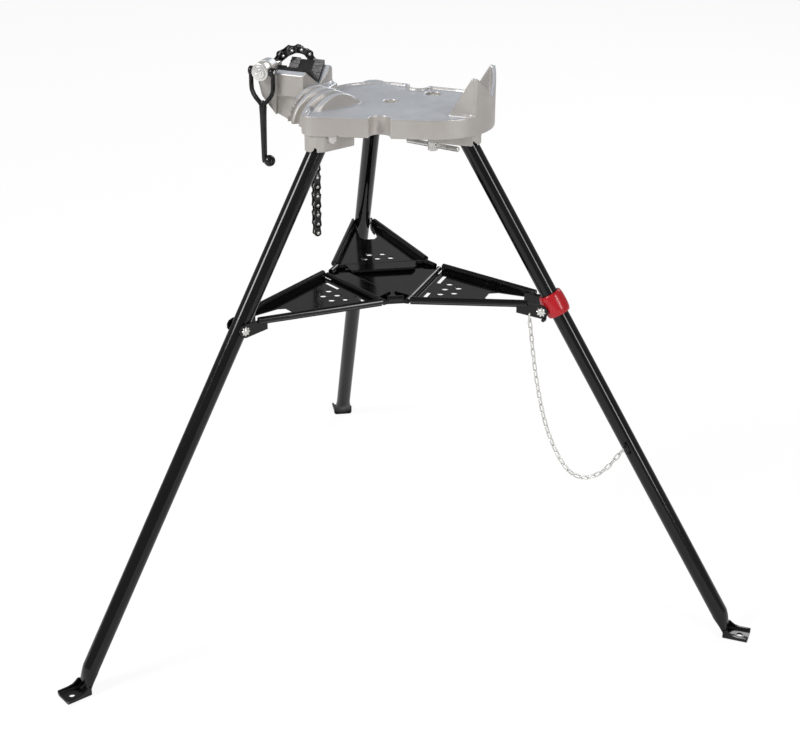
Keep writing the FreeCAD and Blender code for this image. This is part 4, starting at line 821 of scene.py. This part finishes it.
def make_handle():
    """Forged fork that narrows into a shaft, with a ball that sits to one side of its end."""
    bm = bmesh.new()
    middle = HANDLE_EYE_IN + HANDLE_EYE / 2

    def oval(x, z, half_x, half_y):
        return ring_at(NUT_CENTRE + Vector((x, 0, z)) * MM, X_AXIS, Y_AXIS, half_x * MM, 20, half_y * MM)

    for side in (-1, 1):
        eye = NUT_CENTRE + X_AXIS * (side * HANDLE_EYE_IN * MM)
        add_turned(bm, eye, X_AXIS * side, [(d * MM, r * MM) for d, r in HANDLE_EYE_PROFILE], 32)
        add_loft(bm, [oval(side * (middle + x), z, half_x, half_y) for x, z, half_x, half_y in PRONG])
    add_loft(bm, [oval(0.0, z, half_x, half_y) for z, half_x, half_y in SHAFT])
    neck = NUT_CENTRE + Vector((0.0, 0, -SHAFT_END + 5)) * MM
    add_rod(bm, neck, neck + Vector((BALL_SIDE, 0, 0)) * MM, BALL_NECK * MM, 20)
    fitted("vise_handle_forged", bm, "black_steel", "handle", ["vise_handle"], 50.0)
    ball = bmesh.new()
    centre = NUT_CENTRE + Vector((BALL_SIDE, 0, -SHAFT_END + 4)) * MM
    profile = []
    for k in range(BALL_STEPS + 1):
        a = math.pi * (k + 0.25) / (BALL_STEPS + 0.5)
        profile.append((-BALL_RADIUS * math.cos(a) * MM, BALL_RADIUS * math.sin(a) * MM))
    add_turned(ball, centre, Z_AXIS, profile, 32)
    fitted("handle_ball", ball, "black_steel", "handle", ["handle_knob"], 60.0)


# ---------------------------------------------------------------- brace screw and crossbar
BRACE_X, BRACE_Y = 52.6, 66.0
BRACE_BAR_Z = 745.0
BRACE_HEAD_Z = 736.5
BRACE_HEAD_PROFILE = [(0, 7.2), (0.6, 8.0), (15.8, 8.0), (16.6, 7.4)]
THREAD_START = 17.4
THREAD_END = 84.0
THREAD_PITCH = 2.5
THREAD_TURN = [(0.6, 7.4), (1.25, 6.6), (1.9, 7.4)]          # crest, root, crest of one turn
BRACE_TIP_PROFILE = [(87.5, 7.3), (89.5, 5.6)]
TBAR_AZIMUTH = -11.0
TBAR_HALF = 47.0
TBAR_RADIUS = 4.2
TBAR_EDGE = 0.7
TBAR_END_RADIUS = 3.4


def make_brace():
    """Screw with a plain head and a rounded tip, and the loose bar through its head."""
    bm = bmesh.new()
    base = place(BRACE_X, BRACE_Y, BRACE_HEAD_Z)
    profile = BRACE_HEAD_PROFILE + [(THREAD_START, 7.2)]
    at = THREAD_START
    while at < THREAD_END:
        profile += [(at + d, r) for d, r in THREAD_TURN]
        at += THREAD_PITCH
    profile += BRACE_TIP_PROFILE
    add_turned(bm, base, Z_AXIS, [(d * MM, r * MM) for d, r in profile], 28)
    fitted("brace_screw_threaded", bm, "zinc_steel", "brace", ["brace_screw"], 25.0)
    bar = bmesh.new()
    middle = place(BRACE_X, BRACE_Y, BRACE_BAR_Z)
    along = heading(1, 0, 0, TBAR_AZIMUTH)
    shoulder = TBAR_HALF - TBAR_EDGE
    profile = [(-TBAR_HALF, TBAR_END_RADIUS), (-shoulder, TBAR_RADIUS)]
    profile += [(shoulder, TBAR_RADIUS), (TBAR_HALF, TBAR_END_RADIUS)]
    add_turned(bar, middle, along, [(d * MM, r * MM) for d, r in profile], 28)
    fitted("crossbar_turned", bar, "zinc_steel", "crossbar", ["brace_tbar"], 32.0)


# ---------------------------------------------------------------- table casting
TABLE_TOP = 828.0
RIM_BOTTOM = 802.0
TABLE_SKIN = (1.3 * MM, 4)           # voxel, rounds of smoothing
DRUM_START = Vector((-51.0, -66.0))
DRUM_AZIMUTH = 150.0
DRUM_RISE = 22.0
DRUM_RADIUS = 56.0
DRUM_GROOVE = 10.0
DRUM_GROOVES = [15.0, 13.0, 11.0]
DRUM_FACE = 9.0
DRUM_RIB = 6.0
DRUM_CLEAR = 3.3             # the front leg turns in front of this
DRUM_EDGE = 1.0
DRUM_FOOT = 1.0              # drum's lower edge above the rim's
DRUM_STEPS = 36
DRUM_STEP_RISE = 0.001       # keeps neighbouring points of that edge apart
GROOVE_STEPS = 8
GROOVE_FULLNESS = 0.7        # below one, the groove's bottom is wider than a sine's
JAW_X = -142.0
BOLT_SIDE = 9.5
BOLT_SEAT_Z = 790.0
BOLT_LENGTH = 53
BOLT_RADIUS = 4.0
BOLT_HEAD = 10
BOLT_FLATS = 13.0
BOLT_EDGE = 0.8


def add_drum(bm):
    """Half-round bending drum whose grooves have round bottoms."""
    profile = [(DRUM_CLEAR, DRUM_RADIUS), (DRUM_FACE - DRUM_EDGE, DRUM_RADIUS)]
    at = DRUM_FACE
    for width in DRUM_GROOVES:
        for k in range(GROOVE_STEPS + 1):
            t = k / GROOVE_STEPS
            depth = DRUM_GROOVE * math.sin(math.pi * t) ** GROOVE_FULLNESS
            profile.append((at + width * t, DRUM_RADIUS - depth))
        at += width + DRUM_RIB
    axis_z = TABLE_TOP + DRUM_RISE - DRUM_RADIUS
    a = math.radians(DRUM_AZIMUTH)
    along = Vector((math.cos(a), math.sin(a)))
    across = Vector((-along.y, along.x))
    rings = []
    for x, r in profile:
        ring = []
        for k in range(DRUM_STEPS + 1):
            a = math.pi * k / DRUM_STEPS
            spot = DRUM_START + along * x + across * (r * math.cos(a))
            low = RIM_BOTTOM + DRUM_FOOT + DRUM_STEP_RISE * k
            ring.append(place(spot.x, spot.y, max(axis_z + r * math.sin(a), low)))
        rings.append(ring)
    add_loft(bm, rings)


def make_casting():
    """The casting with its drum rounded out, skinned over as one."""
    node = frame["nodes"]["table_casting"]
    bm = bmesh.new()
    bm.from_mesh(node.data)
    bm.transform(node.matrix_world)
    add_drum(bm)
    piece = fitted("table_skin", bm, "cast_aluminium", "stand", ["table_casting"])
    soften(piece, *TABLE_SKIN)


def make_bolts():
    """Black hexagon bolts that hold the jaw from below."""
    bm = bmesh.new()
    for side in (-1, 1):
        seat = place(JAW_X + side * BOLT_SIDE, 0, BOLT_SEAT_Z)
        add_rod(bm, seat, seat + Z_AXIS * BOLT_LENGTH * MM, BOLT_RADIUS * MM, 16)
        r = BOLT_FLATS / math.sqrt(3)
        head = [(0, r - BOLT_EDGE), (BOLT_EDGE, r), (BOLT_HEAD, r)]
        add_turned(bm, seat - Z_AXIS * BOLT_HEAD * MM, Z_AXIS, [(d * MM, r * MM) for d, r in head], 6)
    fitted("jaw_hexagon_bolts", bm, "black_steel", "stand", ["jaw_bolts"], 30.0)


# ---------------------------------------------------------------- metal nodes
SCREW_SKIN = (0.5 * MM, 6)           # voxel, rounds of smoothing
EDGE_WIDTH = 0.4 * MM
NODE_CREASE = 32                     # degrees


def soften(node, voxel, rounds):
    """Rounds the edges of a casting or forging without touching its mesh."""
    remesh = node.modifiers.new("skin", "REMESH")
    remesh.mode = "VOXEL"
    remesh.voxel_size = voxel
    remesh.use_smooth_shade = True
    smooth = node.modifiers.new("ease", "SMOOTH")
    smooth.factor = 0.5
    smooth.iterations = rounds


def ease_edges(node, width):
    """Bevels the sharp edges of a node without touching its mesh."""
    bevel = node.modifiers.new("edge", "BEVEL")
    bevel.width = width
    bevel.segments = 2
    bevel.limit_method = "ANGLE"
    bevel.angle_limit = math.radians(35)


def dress_nodes():
    """Each node gets its slot's material and shading that is smooth over its rounds."""
    slots = {part["node"]: part["material_slot"] for part in frame["record"]["subparts"]}
    for name, node in frame["nodes"].items():
        for entry in node.material_slots:
            entry.material = LOOKS[slots[name]]
        for polygon in node.data.polygons:
            polygon.use_smooth = True
        node.data.set_sharp_from_angle(angle=math.radians(NODE_CREASE))


# ---------------------------------------------------------------- stage and light
FLOOR_SIZE = 30.0
FLOOR_GLOW = 1.06                    # what the camera sees of the floor besides its shade
FLOOR_GLOW_SHARE = 0.85
WORLD_LIGHT = 0.3
WORLD_SEEN = 1.0


def make_stage():
    """Pale floor that looks white and keeps the stand's shadow."""
    bm = bmesh.new()
    bmesh.ops.create_grid(bm, x_segments=1, y_segments=1, size=FLOOR_SIZE)
    material = bpy.data.materials.new("studio_floor")
    material.use_nodes = True
    tree = material.node_tree
    tree.nodes.clear()
    output = tree.nodes.new("ShaderNodeOutputMaterial")
    mix = tree.nodes.new("ShaderNodeMixShader")
    diffuse = tree.nodes.new("ShaderNodeBsdfDiffuse")
    diffuse.inputs["Color"].default_value = (0.86, 0.86, 0.86, 1.0)
    glow = tree.nodes.new("ShaderNodeEmission")
    glow.inputs["Color"].default_value = (1.0, 1.0, 1.0, 1.0)
    glow.inputs["Strength"].default_value = FLOOR_GLOW
    path = tree.nodes.new("ShaderNodeLightPath")
    share = tree.nodes.new("ShaderNodeMath")
    share.operation = "MULTIPLY"
    share.inputs[1].default_value = FLOOR_GLOW_SHARE
    tree.links.new(path.outputs["Is Camera Ray"], share.inputs[0])
    tree.links.new(share.outputs[0], mix.inputs["Fac"])
    tree.links.new(diffuse.outputs[0], mix.inputs[1])
    tree.links.new(glow.outputs[0], mix.inputs[2])
    tree.links.new(mix.outputs[0], output.inputs["Surface"])
    floor = mesh_object("studio_floor", bm, material)


def make_world():
    """Soft light from all round, white behind the stand."""
    world = bpy.data.worlds.new("studio")
    bpy.context.scene.world = world
    world.use_nodes = True
    tree = world.node_tree
    background = tree.nodes["Background"]
    background.inputs["Color"].default_value = (1.0, 1.0, 1.0, 1.0)
    path = tree.nodes.new("ShaderNodeLightPath")
    strength = tree.nodes.new("ShaderNodeMapRange")
    strength.inputs["To Min"].default_value = WORLD_LIGHT
    strength.inputs["To Max"].default_value = WORLD_SEEN
    tree.links.new(path.outputs["Is Camera Ray"], strength.inputs["Value"])
    tree.links.new(strength.outputs["Result"], background.inputs["Strength"])


def area_light(name, at, target, size, power):
    data = bpy.data.lights.new(name, "AREA")
    data.shape = "RECTANGLE"
    data.size, data.size_y = size
    data.energy = power
    lamp = bpy.data.objects.new(name, data)
    bpy.context.scene.collection.objects.link(lamp)
    lamp.location = at
    lamp.rotation_euler = (Vector(target) - Vector(at)).to_track_quat("-Z", "Y").to_euler()


def make_lights():
    middle = (-0.1, 0.0, 0.5)
    area_light("key", (-2.2, -2.6, 3.0), middle, (1.2, 1.8), 105.0)
    area_light("fill", (3.2, -1.6, 2.0), middle, (0.6, 2.6), 55.0)
    area_light("rim", (0.6, 3.2, 2.6), middle, (2.4, 1.0), 40.0)


make_camera()
LOOKS = {
    "cast_aluminium": cast_aluminium(),
    "black_paint": black_paint(),
    "red_paint": red_paint(),
    "black_steel": black_steel(),
    "jaw_steel": jaw_steel(),
    "zinc_steel": zinc_steel(),
}
dress_nodes()
make_casting()
make_bolts()
make_collar()
soften(frame["nodes"]["chain_screw"], *SCREW_SKIN)
for name in ("latch_lever", "leg_hinge_pins", "chain_jaw"):
    ease_edges(frame["nodes"][name], EDGE_WIDTH)
for kind in LEG_AZIMUTHS:
    make_leg(kind)
    dress_arm(kind)
    make_rivets(kind)
dress_pan()
make_hook()
make_staple()
make_chain()
make_storage_chain()
make_nut()
make_handle()
make_brace()
make_stage()
make_world()
make_lights()
bpy.context.scene.view_settings.view_transform = "Standard"
